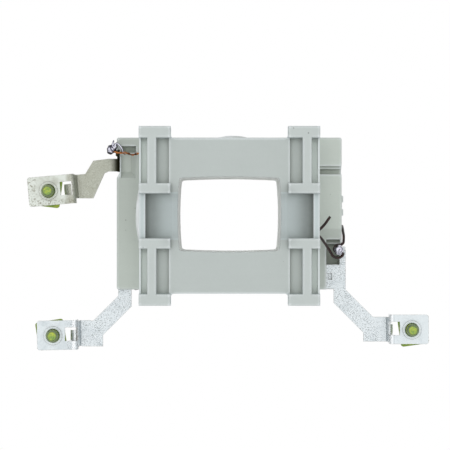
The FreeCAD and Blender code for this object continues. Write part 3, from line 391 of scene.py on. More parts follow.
def tintRearFlange(tree, colour, look, place):
    vector, x, y, z = place
    at, gains = plasticPlaces, plasticGains
    across, middle = away(tree, x), away(tree, y, at["centreLine"])
    colour = mixTone(tree, rise(tree, z, *at["padTop"]), colour, look["pad"], "MULTIPLY")
    # Pockets: a warm painted shade over their floors, painted light on the outer floors and more painted
    # shade on the inner ones
    pocket = allOf(tree, band(tree, z, *at["pocketLevel"], 0.3), rise(tree, middle, *at["pocketStart"]),
                   fall(tree, middle, *at["pocketEnd"]))
    colour = gain(tree, colour, allOf(tree, pocket, rise(tree, across, *at["web"])), gains["outerPocket"])
    colour = mixTone(tree, calc(tree, "MULTIPLY", pocket, 0.6), colour, look["pocket"], "MULTIPLY")
    colour = gain(tree, colour, allOf(tree, pocket, fall(tree, across, *at["web"])), gains["innerPocket"])
    # The dishes: painted shade, darker towards the bars
    dish = allOf(tree, fall(tree, middle, *at["dishEnd"]), fall(tree, z, *at["dishTop"]),
                 rise(tree, z, *at["dishFoot"]), calc(tree, "LESS_THAN", across, at["bar"]))
    colour = gain(tree, colour, allOf(tree, dish, rise(tree, across, *at["dishShade"])), gains["dish"])
    # Cloudy painted shade on the dishes, growing towards the bars and, half as strong, towards the ends
    ends = calc(tree, "MULTIPLY", rise(tree, middle, *at["shadeEnds"]), 0.5)
    slope = eitherOf(tree, rise(tree, across, *at["shadeSlope"]), ends)
    cloudy = calc(tree, "ADD", 0.2, calc(tree, "MULTIPLY", cloud(tree, vector, 0.5), 0.3))
    colour = mixTone(tree, allOf(tree, dish, slope, cloudy), colour, look["paintedDishShade"], "MULTIPLY")
    # Painted light on the upright walls of the window
    upright = fall(tree, away(tree, upwards(tree)), 0.2, 0.6)
    wall = allOf(tree, fall(tree, across, *at["windowSide"]), fall(tree, away(tree, y), *at["windowEnd"]),
                 upright)
    colour = mixTone(tree, calc(tree, "MULTIPLY", wall, 0.85), colour, look["wall"])
    # Painted shade on the plate beside the window
    rim = allOf(tree, fall(tree, across, *at["rimSide"]), fall(tree, middle, *at["rimEnd"]),
                rise(tree, z, *at["dishFoot"]))
    return gain(tree, colour, rim, gains["rim"])


def tintFrontFlange(tree, colour, look, place):
    vector, x, y, z = place
    at, gains = plasticPlaces, plasticGains
    # Painted light on the right shoulder and on the lower left
    shoulder = fall(tree, z, *at["shoulderTop"])
    colour = gain(tree, colour, allOf(tree, shoulder, rise(tree, x, 0.0, 1.0)), gains["rightShoulder"])
    lower = allOf(tree, shoulder, fall(tree, x, -1.0, 0.0), fall(tree, y, *at["lowerLeft"]))
    colour = gain(tree, colour, lower, gains["lowerLeft"])
    # Painted light in the left recess, strongest on its shaded upper wall
    floor = fall(tree, z, *at["recessLevel"])
    recess = allOf(tree, fall(tree, x, *at["recessSide"]), band(tree, y, *at["recessSpan"], 0.1), floor)
    colour = gain(tree, colour, recess, gains["leftRecess"])
    colour = gain(tree, colour, allOf(tree, recess, rise(tree, y, *at["recessWallLight"])), gains["recessWallLight"])
    # Painted shade in the post recess
    post = allOf(tree, rise(tree, x, *at["postSide"]), band(tree, y, *at["postSpan"], 0.1), floor)
    colour = mixTone(tree, calc(tree, "MULTIPLY", post, 0.55), colour, look["recess"], "MULTIPLY")
    # Painted shade on the strip along the right edge
    edge = allOf(tree, shoulder, rise(tree, x, *at["edgeSide"]), fall(tree, y, *at["edgeEnd"]))
    return gain(tree, colour, edge, gains["rightEdge"])


def makePlastic():
    look, at = tonesOf(plasticLook), plasticPlaces
    material, tree, surface, place = startMaterial("bobbinPlastic")
    vector, x, y, z = place
    # Darker and warmer towards the lower levels: painted shade
    colour = mixTone(tree, fall(tree, z, *at["depth"]), look["base"], look["low"])
    colour = tintRearFlange(tree, colour, look, place)
    colour = tintFrontFlange(tree, colour, look, place)
    broad = cloud(tree, vector, 0.09)
    fine = cloud(tree, vector, 1.6, 4.0, 0.6)
    flow = cloud(tree, stretched(tree, vector, (0.05, 0.6, 0.3), 12.0), 1.0, 4.0)
    shade = calc(tree, "ADD", sway(tree, broad, 0.08), sway(tree, fine, 0.06))
    shade = calc(tree, "ADD", shade, sway(tree, flow, 0.035))
    colour = scaled(tree, colour, calc(tree, "ADD", 1.0, shade))
    # Painted shade in the hollows and painted highlights on the ridges, both made patchy by fine noise
    corners = useGroup(tree, cornerGroup, {"Outside": plasticLook["hollowReach"],
                                           "Inside": plasticLook["ridgeReach"]})
    patchy = calc(tree, "ADD", 0.55, calc(tree, "MULTIPLY", fine, 0.7))
    hollow = allOf(tree, corners.outputs[1], plasticLook["hollowShare"], patchy)
    colour = mixTone(tree, hollow, colour, look["hollow"])
    lip = allOf(tree, fall(tree, away(tree, x), *at["lipSide"]), fall(tree, away(tree, y), *at["lipEnd"]))
    ridge = allOf(tree, corners.outputs[0], plasticLook["ridgeShare"], patchy, calc(tree, "SUBTRACT", 1.0, lip))
    colour = mixTone(tree, ridge, colour, look["edge"])
    specks = useGroup(tree, speckGroup, {"Vector": vector, "Scale": plasticLook["speckSize"],
                                         "Cover": plasticLook["speckCover"]})
    colour = mixTone(tree, calc(tree, "MULTIPLY", specks.outputs[0], 0.6), colour, look["speck"])
    edges = useGroup(tree, edgeGroup, {"Radius": 0.0003, "Gain": 2.0})
    height = calc(tree, "ADD", calc(tree, "MULTIPLY", fine, 0.5),
                  calc(tree, "MULTIPLY", cloud(tree, vector, 6.0), 0.5))
    feed(tree, surface, {
        "Base Color": colour,
        "Roughness": calc(tree, "ADD", plasticLook["roughness"], sway(tree, fine, 0.16)),
        "Normal": bump(tree, height, plasticLook["grainDepth"], 0.7, edges.outputs[1]),
        "IOR": 1.49, "Specular IOR Level": 0.35, "Subsurface Weight": 0.06, "Subsurface Scale": 0.0012,
        "Subsurface Radius": (1.0, 1.0, 0.95),
    })
    return material


# Strips: tinned sheet with a gritty face, painted highlights on its folds and ridges and painted shade in its
# creases and hollows; the upper left one is duller, with painted shade at its bend

tinLook = {
    "base": (224, 230, 232), "dark": (178, 188, 192), "edge": (150, 140, 116), "bright": (252, 254, 255),
    "scratchAndShade": (128, 132, 130), "grit": 0.8, "roughness": 0.42,
}
dullLook = {
    "base": (226, 230, 222), "dark": (168, 168, 150), "edge": (104, 92, 60), "bright": (242, 244, 238),
    "scratchAndShade": (104, 100, 78), "bendShade": (44, 43, 25), "grit": 0.4, "roughness": 0.5,
}
stripPlaces = {
    "arm": (45.4, 46.6), "leftFold": (-44.4, -43.5), "rightFold": (45.4, 46.3),
    "leftCrease": (-44.75, -44.6), "rightCrease": (46.5, 46.65),
    "bendShadeSide": (-34.2, -31.6), "bendShadeEnd": (9.0, 11.0),
    "plateSide": (-55.6, -53.6), "plateFoot": (3.6, 5.0),
}


def tintFolds(tree, colour, tones, x):
    at = stripPlaces
    # Painted highlight along the folds and painted shade along the creases beside them
    fold = eitherOf(tree, band(tree, x, *at["leftFold"], 0.15), band(tree, x, *at["rightFold"], 0.15))
    colour = mixTone(tree, fold, colour, tones["bright"])
    crease = eitherOf(tree, band(tree, x, *at["leftCrease"], 0.08), band(tree, x, *at["rightCrease"], 0.08))
    return mixTone(tree, calc(tree, "MULTIPLY", crease, 0.35), colour, tones["scratchAndShade"])


def tintShadeAndGrime(tree, colour, tones, place):
    vector, x, y, z = place
    at = stripPlaces
    # Painted shade over the bend
    bendShade = allOf(tree, rise(tree, x, *at["bendShadeSide"]), rise(tree, y, *at["bendShadeEnd"]))
    colour = mixTone(tree, bendShade, colour, tones["bendShade"])
    rim = eitherOf(tree, fall(tree, x, *at["plateSide"]), fall(tree, y, *at["plateFoot"]))
    grime = allOf(tree, rise(tree, cloud(tree, vector, 1.7, 3.0, 0.7), 0.52, 0.6), rim)
    return mixTone(tree, calc(tree, "MULTIPLY", grime, 0.6), colour, tones["edge"])


def makeTin(name, look):
    tones = tonesOf(look)
    dull = "bendShade" in look
    material, tree, surface, place = startMaterial(name)
    vector, x, y, z = place
    arm = fall(tree, away(tree, x), *stripPlaces["arm"])
    broad = cloud(tree, vector, 0.3)
    spangle = cloud(tree, vector, 3.6, 2.0, 0.7)
    patch = rise(tree, cloud(tree, vector, 0.22, 2.0), 0.2, 0.5)
    fine = cloud(tree, vector, 7.0, 2.0, 0.6)
    uneven = calc(tree, "MULTIPLY", rise(tree, broad, 0.45, 0.75), 0.45)
    colour = mixTone(tree, uneven, tones["base"], tones["dark"])
    if dull:
        colour = mixTone(tree, calc(tree, "MULTIPLY", arm, 0.7), colour, tones["dark"])
    else:
        colour = tintFolds(tree, colour, tones, x)
    grit = allOf(tree, arm, patch, look["grit"])
    colour = mixTone(tree, allOf(tree, rise(tree, spangle, 0.54, 0.66), grit), colour, tones["bright"])
    colour = mixTone(tree, allOf(tree, fall(tree, spangle, 0.38, 0.46), grit), colour, tones["scratchAndShade"])
    lines = cloud(tree, stretched(tree, vector, (0.5, 7.0, 2.0), 38.0), 1.0, 2.0, 0.5)
    colour = mixTone(tree, allOf(tree, rise(tree, lines, 0.7, 0.76), 0.45), colour, tones["scratchAndShade"])
    corners = useGroup(tree, cornerGroup, {"Outside": 0.0008, "Inside": 0.00034})
    ridge, hollow = corners.outputs
    # Painted highlight on the ridges, a broken painted dark reflection along them, and painted shade in the
    # hollows
    colour = mixTone(tree, calc(tree, "MULTIPLY", ridge, 0.4), colour, tones["bright"])
    broken = rise(tree, cloud(tree, vector, 1.0, 3.0, 0.7), 0.4, 0.56)
    colour = mixTone(tree, allOf(tree, rise(tree, ridge, 0.7, 1.0), broken, 0.75), colour, tones["edge"])
    colour = mixTone(tree, calc(tree, "MULTIPLY", hollow, 0.4), colour, tones["scratchAndShade"])
    if dull:
        colour = tintShadeAndGrime(tree, colour, tones, place)
    edges = useGroup(tree, edgeGroup, {"Radius": 0.00016, "Gain": 4.0})
    height = calc(tree, "ADD", allOf(tree, spangle, grit, 0.7), calc(tree, "MULTIPLY", fine, 0.15))
    feed(tree, surface, {
        "Base Color": colour, "Metallic": 0.9,
        "Roughness": calc(tree, "ADD", look["roughness"], sway(tree, spangle, 0.4)),
        "Normal": bump(tree, height, 0.00006, 0.9, edges.outputs[1]),
    })
    return material


# Screws and washers: yellow zinc plating, greener in patches, with painted shade under the plates and round
# the screw points, and painted highlights along the edges

zincLook = {
    "base": (152, 172, 98), "yellow": (196, 206, 74), "green": (112, 150, 78), "dark": (74, 80, 34),
    "ring": (142, 156, 128), "underShade": (96, 116, 34), "edgeGlint": (236, 240, 190),
    # Levels in millimetres, and distances from the screw's axis
    "underPlate": [10.9, 11.4], "tipLevel": [13.4, 14.2], "tipRing": [1.1, 1.28], "tipLine": [1.1, 1.24],
}


def makeZinc():
    tones = tonesOf(zincLook)
    material, tree, surface, (vector, x, y, z) = startMaterial("yellowZinc")
    wide = cloud(tree, vector, 0.8)
    fine = cloud(tree, vector, 4.0, 3.0, 0.6)
    colour = mixTone(tree, rise(tree, wide, 0.38, 0.62), tones["yellow"], tones["green"])
    colour = mixTone(tree, rise(tree, fine, 0.4, 0.6), colour, tones["base"])
    colour = mixTone(tree, calc(tree, "MULTIPLY", fall(tree, fine, 0.3, 0.42), 0.7), colour, tones["dark"])
    # Painted shade on what lies under the plates
    under = fall(tree, z, *zincLook["underPlate"])
    colour = mixTone(tree, calc(tree, "MULTIPLY", under, 0.55), colour, tones["underShade"])
    # Painted shade of the thread flanks round the point: a greyer ring, and a dark line at the point's edge
    reach = addNode(tree, "ShaderNodeAttribute", {"attribute_name": "reach"}, {}).outputs["Fac"]
    ring = allOf(tree, rise(tree, reach, *zincLook["tipRing"]), rise(tree, z, *zincLook["tipLevel"]))
    colour = mixTone(tree, calc(tree, "MULTIPLY", ring, 0.8), colour, tones["ring"])
    line = band(tree, reach, *zincLook["tipLine"], 0.05)
    colour = mixTone(tree, calc(tree, "MULTIPLY", line, 0.6), colour, tones["dark"])
    edges = useGroup(tree, edgeGroup, {"Radius": 0.00012, "Gain": 3.0})
    # Paler along the sharp edges: painted highlight
    colour = mixTone(tree, calc(tree, "MULTIPLY", edges.outputs[0], 0.35), colour, tones["edgeGlint"])
    feed(tree, surface, {
        "Base Color": colour, "Metallic": 0.9, "Roughness": calc(tree, "ADD", 0.3, sway(tree, fine, 0.3)),
        "Normal": bump(tree, fine, 0.00005, 0.7, edges.outputs[1]),
    })
    return material


# Solder: a painted reflection, bright on its upper faces and dark on its flanks, with a little flux

solderLook = {"base": (222, 220, 232), "dark": (88, 84, 100), "deep": (34, 31, 40), "flux": (150, 120, 70)}


def makeSolderLook():
    tones = tonesOf(solderLook)
    material, tree, surface, (vector, x, y, z) = startMaterial("solderTin")
    wide = cloud(tree, vector, 1.1)
    fine = cloud(tree, vector, 5.0)
    brighter = calc(tree, "MULTIPLY", rise(tree, x, -1.0, 1.0), 0.4)  # painted light: the joint on the right is drawn lighter
    # Painted reflection: bright where the surface faces up, dark on the flanks
    tilt = calc(tree, "ADD", upwards(tree), sway(tree, wide, 1.3))
    tilt = calc(tree, "SUBTRACT", calc(tree, "ADD", tilt, brighter), 0.16)
    colour = mixTone(tree, fall(tree, tilt, 0.5, 0.85), tones["base"], tones["dark"])
    colour = mixTone(tree, fall(tree, tilt, 0.3, 0.55), colour, tones["deep"])
    colour = mixTone(tree, calc(tree, "MULTIPLY", rise(tree, fine, 0.66, 0.74), 0.4), colour, tones["flux"])
    rough = calc(tree, "ADD", 0.16, calc(tree, "MULTIPLY", rise(tree, fine, 0.4, 0.7), 0.2))
    feed(tree, surface, {"Base Color": colour, "Metallic": 1.0, "Roughness": rough,
                         "Normal": bump(tree, fine, 0.00006, 0.5)})
    return material


# Leads: bare copper strands and brown enamelled wire

copperLook = {"base": (200, 128, 74), "dark": (84, 46, 26), "patchy": (236, 176, 120),
              "roughness": 0.3, "metallic": 0.85, "coat": 0.0}
enamelLook = {"base": (38, 13, 7), "dark": (14, 5, 3), "patchy": (116, 54, 26),
              "roughness": 0.5, "metallic": 0.0, "coat": 0.12}


def makeWireLook(name, look):
    tones = tonesOf(look)
    material, tree, surface, (vector, x, y, z) = startMaterial(name)
    fine = cloud(tree, vector, 6.0, 2.0)
    colour = mixTone(tree, rise(tree, cloud(tree, vector, 0.9), 0.4, 0.64), tones["base"], tones["dark"])
    # Pale flecks from fine noise: painted highlights on the wire
    colour = mixTone(tree, calc(tree, "MULTIPLY", rise(tree, fine, 0.58, 0.68), 0.6), colour, tones["patchy"])
    feed(tree, surface, {"Base Color": colour, "Metallic": look["metallic"], "Roughness": look["roughness"],
                         "Coat Weight": look["coat"], "Coat Roughness": 0.12,
                         "Normal": bump(tree, fine, 0.00003, 0.5)})
    return material


# Winding and its tape: enamelled turns, with white woven tape folded over their ends

tapeLook = {"base": (236, 238, 236), "shade": (214, 217, 212), "edge": (250, 250, 250),
            "grime": (176, 172, 156), "weave": [0.42, 0.3]}
windingLook = {"groove": (46, 22, 16), "turn": (138, 72, 40), "varnish": (92, 48, 30), "pitch": 0.42,
               "upperFold": [27.8, 27.95], "lowerFold": [10.05, 10.2]}


def makeWindingLook():
    tones, film = tonesOf(windingLook), tonesOf(tapeLook)
    material, tree, surface, (vector, x, y, z) = startMaterial("windingWire")
    # Darker in the grooves between the turns and lighter on their crests: painted shade and highlight
    turns = calc(tree, "SINE", calc(tree, "MULTIPLY", z, fullTurn / windingLook["pitch"]))
    high = calc(tree, "ADD", calc(tree, "MULTIPLY", turns, 0.5), 0.5)
    wander = cloud(tree, vector, 0.5)
    colour = mixTone(tree, high, tones["groove"], tones["turn"])
    colour = mixTone(tree, calc(tree, "MULTIPLY", wander, 0.5), colour, tones["varnish"])
    folded = eitherOf(tree, rise(tree, z, *windingLook["upperFold"]),
                      fall(tree, z, *windingLook["lowerFold"]))
    white = mixTone(tree, rise(tree, wander, 0.4, 0.7), film["edge"], film["base"])
    metal = calc(tree, "SUBTRACT", 0.35, calc(tree, "MULTIPLY", folded, 0.35))
    feed(tree, surface, {"Base Color": mixTone(tree, folded, colour, white), "Metallic": metal,
                         "Roughness": 0.35, "Coat Weight": 0.3, "Normal": bump(tree, high, 0.0002, 0.8)})
    return material


def makeTapeLook():
    tones = tonesOf(tapeLook)
    material, tree, surface, (vector, x, y, z) = startMaterial("wovenTape")
    warp, weft = tapeLook["weave"]
    grime = cloud(tree, stretched(tree, vector, (0.3, 0.3, 1.4)), 1.0, 4.0)
    weave = calc(tree, "MULTIPLY", calc(tree, "SINE", calc(tree, "MULTIPLY", z, fullTurn / weft)),
                 calc(tree, "SINE", calc(tree, "MULTIPLY", calc(tree, "ADD", x, y), fullTurn / warp)))
    colour = mixTone(tree, rise(tree, cloud(tree, vector, 0.15), 0.4, 0.65), tones["base"], tones["shade"])
    grimy = calc(tree, "MULTIPLY", rise(tree, grime, 0.58, 0.75), 0.35)
    colour = mixTone(tree, grimy, colour, tones["grime"])
    colour = mixTone(tree, calc(tree, "MULTIPLY", rise(tree, weave, 0.2, 1.0), 0.2), colour, tones["edge"])
    feed(tree, surface, {"Base Color": colour, "Roughness": 0.42, "IOR": 1.45,
                         "Normal": bump(tree, weave, 0.00003, 0.6)})
    return material


tin = makeTin("brightTin", tinLook)
zinc = makeZinc()
solder = makeSolderLook()
enamel = makeWireLook("brownEnamel", enamelLook)
finishes = {
    "bobbin": makePlastic(), "winding": makeWindingLook(), "winding_tape": makeTapeLook(),
    "upper_left_terminal": makeTin("dullTin", dullLook),
    "lower_left_terminal": tin, "lower_right_terminal": tin,
    "start_lead": makeWireLook("bareCopper", copperLook), "finish_lead": enamel, "jumper_lead": enamel,
}
for name, piece in nodes.items():
    if name not in finishes:
        finishes[name] = solder if name.endswith("_solder") else zinc
    piece.material_slots[0].material = finishes[name]
print("materials made:", len(bpy.data.materials))


# Tape round the winding: one wrap laid over the other, its end on the left side

tapeShape = {
    "sideRadius": 32.5, "endRadius": 50.9, "corner": 6.0, "thickness": 0.4, "lift": 0.11,
    "arcSteps": 90, "cornerSteps": 20, "levels": 46, "levelInset": 0.35,
    "edgeInsets": (0.02, 0.1), "ease": 0.4,
    "lap": (17.6, 20.4), "lapLift": 0.1, "climb": 0.7, "endPlace": 0.2, "endSide": -15, "endLift": 0.09,
    "step": 0.05, "wrinkle": 0.05, "creaseDepth": 0.07, "creaseSharpness": 9,
    "bulge": (1.5, 3.5, 0.38), "bulgeSide": 10,  # middle, half width and height of the bulge on the top side
}


def softStep(value):
    return 1 / (1 + np.exp(-value / tapeShape["step"]))


def arcPoints(centre, radius, angles):
    normals = np.stack([np.cos(angles), np.sin(angles)], axis=1)
    return centre + normals * radius, normals


def tapeArcs(low, high):
    # One large arc for each side of the box; its crown touches that side
    lean = (low[0] + high[0]) / 2
    sides = [(0, "sideRadius", high[0]), (90, "endRadius", high[1]), (180, "sideRadius", -low[0]),
             (270, "endRadius", -low[1])]
    arcs = []
    for turn, radiusName, reach in sides:
        angle, radius = math.radians(turn), tapeShape[radiusName]
        centre = np.array([math.cos(angle), math.sin(angle)]) * (reach - radius)
        if turn % 180:
            centre[0] += lean
        arcs.append((centre, radius - tapeShape["corner"], angle))
    return arcs


def tapeCorners(arcs):
    # Where two neighbouring arcs, drawn in by the corner's radius, cross: the corner arc's centre
    corners = []
    for k, quadrant in enumerate([(1, 1), (-1, 1), (-1, -1), (1, -1)]):
        one, other = arcs[k], arcs[(k + 1) % 4]
        apart = other[0] - one[0]
        distance = np.linalg.norm(apart)
        way = apart / distance
        along = (one[1] ** 2 - other[1] ** 2 + distance ** 2) / (2 * distance)
        up = math.sqrt(one[1] ** 2 - along ** 2) * np.array([-way[1], way[0]])
        foot = one[0] + way * along
        corners.append(max((foot + up, foot - up), key=lambda point: float(np.dot(point, quadrant))))
    return corners


def turnNear(way, near):
    angle = math.atan2(way[1], way[0])
    return near + (angle - near + math.pi) % fullTurn - math.pi


def tapeOutline(low, high):
    arcs = tapeArcs(low, high)
    corners = tapeCorners(arcs)
    corner = tapeShape["corner"]
    runs = []
    for k, (centre, radius, crown) in enumerate(arcs):
        first = turnNear(corners[k - 1] - centre, crown)
        last = turnNear(corners[k] - centre, crown)
        runs.append(arcPoints(centre, radius + corner, np.linspace(first, last, tapeShape["arcSteps"])))
        following = turnNear(corners[k] - arcs[(k + 1) % 4][0], last)
        turns = np.linspace(last, following, tapeShape["cornerSteps"])[1:-1]
        runs.append(arcPoints(corners[k], corner, turns))
    return np.vstack([run[0] for run in runs]), np.vstack([run[1] for run in runs])


def tapeLift(places, level, bottom, top):
    # How far the outer face stands off the outline: overlap, tape end, wrinkles, creases and a bulge
    shape = tapeShape
    x, y = places[:, 0], places[:, 1]
    level = level[:, None]
    ease = np.minimum(1.0, np.minimum(level - bottom, top - level) / shape["ease"])
    lift = -shape["lift"] * (1.6 - 0.6 * ease)
    climb = shape["climb"] * (np.arange(len(places)) / len(places) - 0.5)
    start, end = shape["lap"]
    lift = lift + shape["lapLift"] * softStep(level - start - climb) * softStep(end + climb - level)
    lift += np.where(x < shape["endSide"], shape["endLift"] * softStep(shape["endPlace"] - y), 0.0)
    x, y, level = np.broadcast_arrays(x, y, level)
    lift += shape["wrinkle"] * noiseAt(np.stack([x * 0.35, y * 0.35, level * 0.5], axis=-1))
    crease = np.abs(noiseAt(np.stack([x * 0.5 + level * 0.3, y * 0.5, level * 0.25 + 9.0], axis=-1)))
    lift -= shape["creaseDepth"] * np.maximum(0.0, 1 - crease * shape["creaseSharpness"]) * ease
    middle, half, height = shape["bulge"]
    bulge = (height + shape["lift"]) * np.exp(-((x - middle) / half) ** 4) * ease
    return lift + np.where(y > shape["bulgeSide"], bulge, 0.0)


def buildTape():
    low, high = boxOf("winding_tape")
    bottom, top = low[2], high[2]
    places, normals = tapeOutline(low, high)
    edge, shoulder = tapeShape["edgeInsets"]
    inset = tapeShape["levelInset"]
    levels = np.concatenate([[bottom + edge, bottom + shoulder],
                             np.linspace(bottom + inset, top - inset, tapeShape["levels"]),
                             [top - shoulder, top - edge]])
    lift = tapeLift(places, levels, bottom, top)
    outer = places + normals * lift[..., None]
    inner = places - normals * tapeShape["thickness"] * 0.98
    rings = [np.column_stack([ring, np.full(len(ring), level)]) for ring, level in zip(outer, levels)]
    rings += [np.column_stack([inner, np.full(len(inner), level)]) for level in (top - edge, bottom + edge)]
    tape = makeObject("windingTape", np.vstack(rings), ringFaces(len(rings), len(places), closed=True))
    finishPiece(tape, "winding_tape", 50)
    print("tape built:", len(tape.data.polygons), "faces")


buildTape()


# Clamp screws: rolled thread, flat chamfered point, slotted pan head on the front side

screwShape = {
    "thread": 1.75, "root": 1.44, "pitch": 0.6, "point": 0.5, "crown": 0.7, "head": 3.2, "headHeight": 2.3,
    "slotWidth": 1.0, "slotDepth": 1.2, "slotReach": 4.2, "slotOver": 0.6, "slotTaper": 0.06,
    "columns": 72, "threadStep": 0.05, "runout": 0.3, "crest": 0.16, "flank": 0.66, "chamfer": 0.95,
}
slotTurns = {"upper_left": 35, "lower_left": 20, "lower_right": -40}


def headProfile(bottom, seat):
    # Radius and level of each ring: flat crown, a quarter circle, the rim and the underside
    shape = screwShape
    turns = math.pi / 2 * np.arange(1, 9) / 8
    start = [(0.02, bottom), (1.2, bottom), (shape["head"] - 1.0, bottom + 0.02)]
    lifted = bottom + shape["crown"] * (1 - np.cos(turns))
    crown = np.column_stack([shape["head"] - 1.0 + np.sin(turns), lifted])
    rim = [(shape["head"], seat - 0.14), (shape["head"] - 0.04, seat - 0.04), (shape["head"] - 0.14, seat),
           (shape["root"] + 0.24, seat)]
    return np.vstack([start, crown, rim])


def threadReach(level, angles, seat, top):
    # A trapezium wave that climbs by one pitch a turn, runs out at the head and is cut by the chamfer
    shape = screwShape
    phase = level / shape["pitch"] - angles / fullTurn
    height = np.clip((np.abs(phase % 1.0 * 2 - 1) - shape["crest"]) / shape["flank"], 0.0, 1.0)
    fade = np.minimum(1.0, (level - seat) / shape["runout"])
    reach = shape["root"] + (shape["thread"] - shape["root"]) * (height * fade + (1 - fade) * 0.4)
    cut = np.maximum(0.0, level - top + shape["point"]) * shape["chamfer"]
    return np.minimum(reach, shape["thread"] - cut)


def makeCutter(middle, bottom, slotTurn):
    # A slab through the head that narrows a little towards the slot's floor
    shape = screwShape
    turn = math.radians(slotTurn)
    along = np.array([math.cos(turn), math.sin(turn)]) * shape["slotReach"]
    across = np.array([-math.sin(turn), math.cos(turn)]) * shape["slotWidth"] / 2
    corners = []
    for level, spread in ((bottom - shape["slotOver"], 1 + shape["slotTaper"]),
                          (bottom + shape["slotDepth"], 1 - shape["slotTaper"])):
        for a, b in ((-1, -1), (1, -1), (1, 1), (-1, 1)):
            corners.append([*(middle[:2] + along * a + across * b * spread), level])
    sides = [(0, 1, 2, 3), (4, 5, 6, 7), (0, 1, 5, 4), (1, 2, 6, 5), (2, 3, 7, 6), (3, 0, 4, 7)]
    return makeObject("slotCutter", corners, sides)


def buildScrew(side, slotTurn):
    node = side + "_clamp_screw"
    shape, columns = screwShape, screwShape["columns"]
    low, high = boxOf(node)
    middle, bottom, top = (low + high) / 2, low[2], high[2]
    seat = bottom + shape["headHeight"]
    angles = fullTurn * np.arange(columns) / columns
    head = headProfile(bottom, seat)
    levels = np.arange(seat + shape["threadStep"], top - 0.015, shape["threadStep"])[:, None]
    tip = np.array([(shape["thread"] - shape["point"] - 0.02, top - 0.012), (1.16, top), (0.6, top),
                    (0.02, top - 0.02)])
    plain = [np.repeat(profile[:, :1], columns, axis=1) for profile in (head, tip)]
    reach = np.vstack([plain[0], threadReach(levels, angles, seat, top), plain[1]])
    level = np.repeat(np.concatenate([head[:, 1], levels[:, 0], tip[:, 1]])[:, None], columns, axis=1)
    x, y = middle[0] + reach * np.cos(angles), middle[1] + reach * np.sin(angles)
    points = np.stack([x, y, level], axis=-1)
    rows = len(points)
    faces = ringFaces(rows, columns) + capFaces(rows, columns)
    screw = makeObject(side + "ClampScrew", points.reshape(-1, 3), faces)
    cutter = makeCutter(middle, bottom, slotTurn)
    cut = screw.modifiers.new("slot", "BOOLEAN")
    cut.operation = "DIFFERENCE"
    cut.solver = "EXACT"
    cut.object = cutter
    bakeModifiers(screw)
    bpy.data.objects.remove(cutter)
    fromAxis = np.linalg.norm(readPoints(screw.data)[:, :2] - middle[:2], axis=1)
    screw.data.attributes.new("reach", "FLOAT", "POINT").data.foreach_set("value", fromAxis)
    finishPiece(screw, node, 32)


for side, slotTurn in slotTurns.items():
    buildScrew(side, slotTurn)
print("screws built")


# Solder joints: balls and tails run into one skin

solderShape = {
    "upper_left_solder": {
        "balls": [((-33.15, 18.5, 12.3), (1.35, 1.25, 1.3)), ((-32.35, 19.2, 12.7), (0.85, 0.8, 0.8)),
                  ((-33.6, 17.75, 12.0), (0.9, 0.75, 0.9))],
        "tails": [([(-32.9, 18.9, 12.8), (-32.75, 20.1, 12.9), (-32.55, 21.05, 12.9)], (0.62, 0.32, 0.12)),
                  ([(-32.3, 19.4, 13.0), (-31.7, 20.1, 13.2), (-30.8, 19.4, 13.4), (-30.2, 18.5, 13.4),
                    (-29.8, 17.3, 13.3)], (0.35, 0.27, 0.27, 0.27, 0.2))],
    },
    "lower_right_solder": {
        "balls": [((30.95, -9.95, 12.7), (1.35, 1.3, 1.15)), ((31.8, -9.8, 12.3), (0.75, 0.7, 0.8)),
                  ((30.5, -10.4, 12.4), (0.8, 0.75, 0.7))],
        "tails": [([(31.6, -10.1, 12.3), (32.2, -10.0, 12.0), (32.55, -9.9, 11.8)], (0.5, 0.32, 0.2))],
    },
    "lower_left_solder": {
        "balls": [((-26.45, -20.6, 6.5), (1.0, 0.95, 0.9)), ((-26.9, -20.2, 6.3), (0.55, 0.6, 0.6))],
        "tails": [([(-26.4, -20.3, 6.2), (-26.5, -19.7, 5.6)], (0.55, 0.36))],
    },
}
solderSkin = {"lump": 0.22, "grain": 1.7, "seedStep": 3.7, "tailSteps": 8, "tailColumns": 14, "voxel": 0.07}


def buildSolder(node, seed):
    points, faces = np.empty((0, 3)), []
    for k, (centre, radii) in enumerate(solderShape[node]["balls"]):
        more, sides = lumpySphere(centre, radii, solderSkin["lump"], solderSkin["grain"],
                                  seed + k * solderSkin["seedStep"], len(points))
        points, faces = np.vstack([points, more]), faces + sides
    for knots, radii in solderShape[node]["tails"]:
        line = smoothPath(knots, solderSkin["tailSteps"])
        widths = np.interp(np.linspace(0, 1, len(line)), np.linspace(0, 1, len(radii)), radii)
        more, sides = sweepTube(line, widths, solderSkin["tailColumns"], len(points))
        points, faces = np.vstack([points, more]), faces + sides
    joint = makeObject(node.replace("_", "") + "Skin", points, faces)
    skin = joint.modifiers.new("skin", "REMESH")
    skin.mode = "VOXEL"
    skin.voxel_size = solderSkin["voxel"]
    soft = joint.modifiers.new("soft", "SMOOTH")
    soft.factor = 0.5
    soft.iterations = 4
    bakeModifiers(joint)
    finishPiece(joint, node)


for seed, node in enumerate(solderShape, start=2):
    buildSolder(node, seed)
print("solder built")


# Tabs bent down from the windows of the clamp plates

tabShape = {"root": 6.5, "width": 3.0, "sheet": 0.5, "drop": 2.1, "stations": 28, "bevel": 0.08}
tabs = {
    "upper_left": {"side": 1, "turn": 5.0, "tip": 4.55},
    "lower_left": {"side": 1, "turn": 0.5, "tip": 5.0},
    "lower_right": {"side": -1, "turn": -0.5, "tip": 5.4},
}


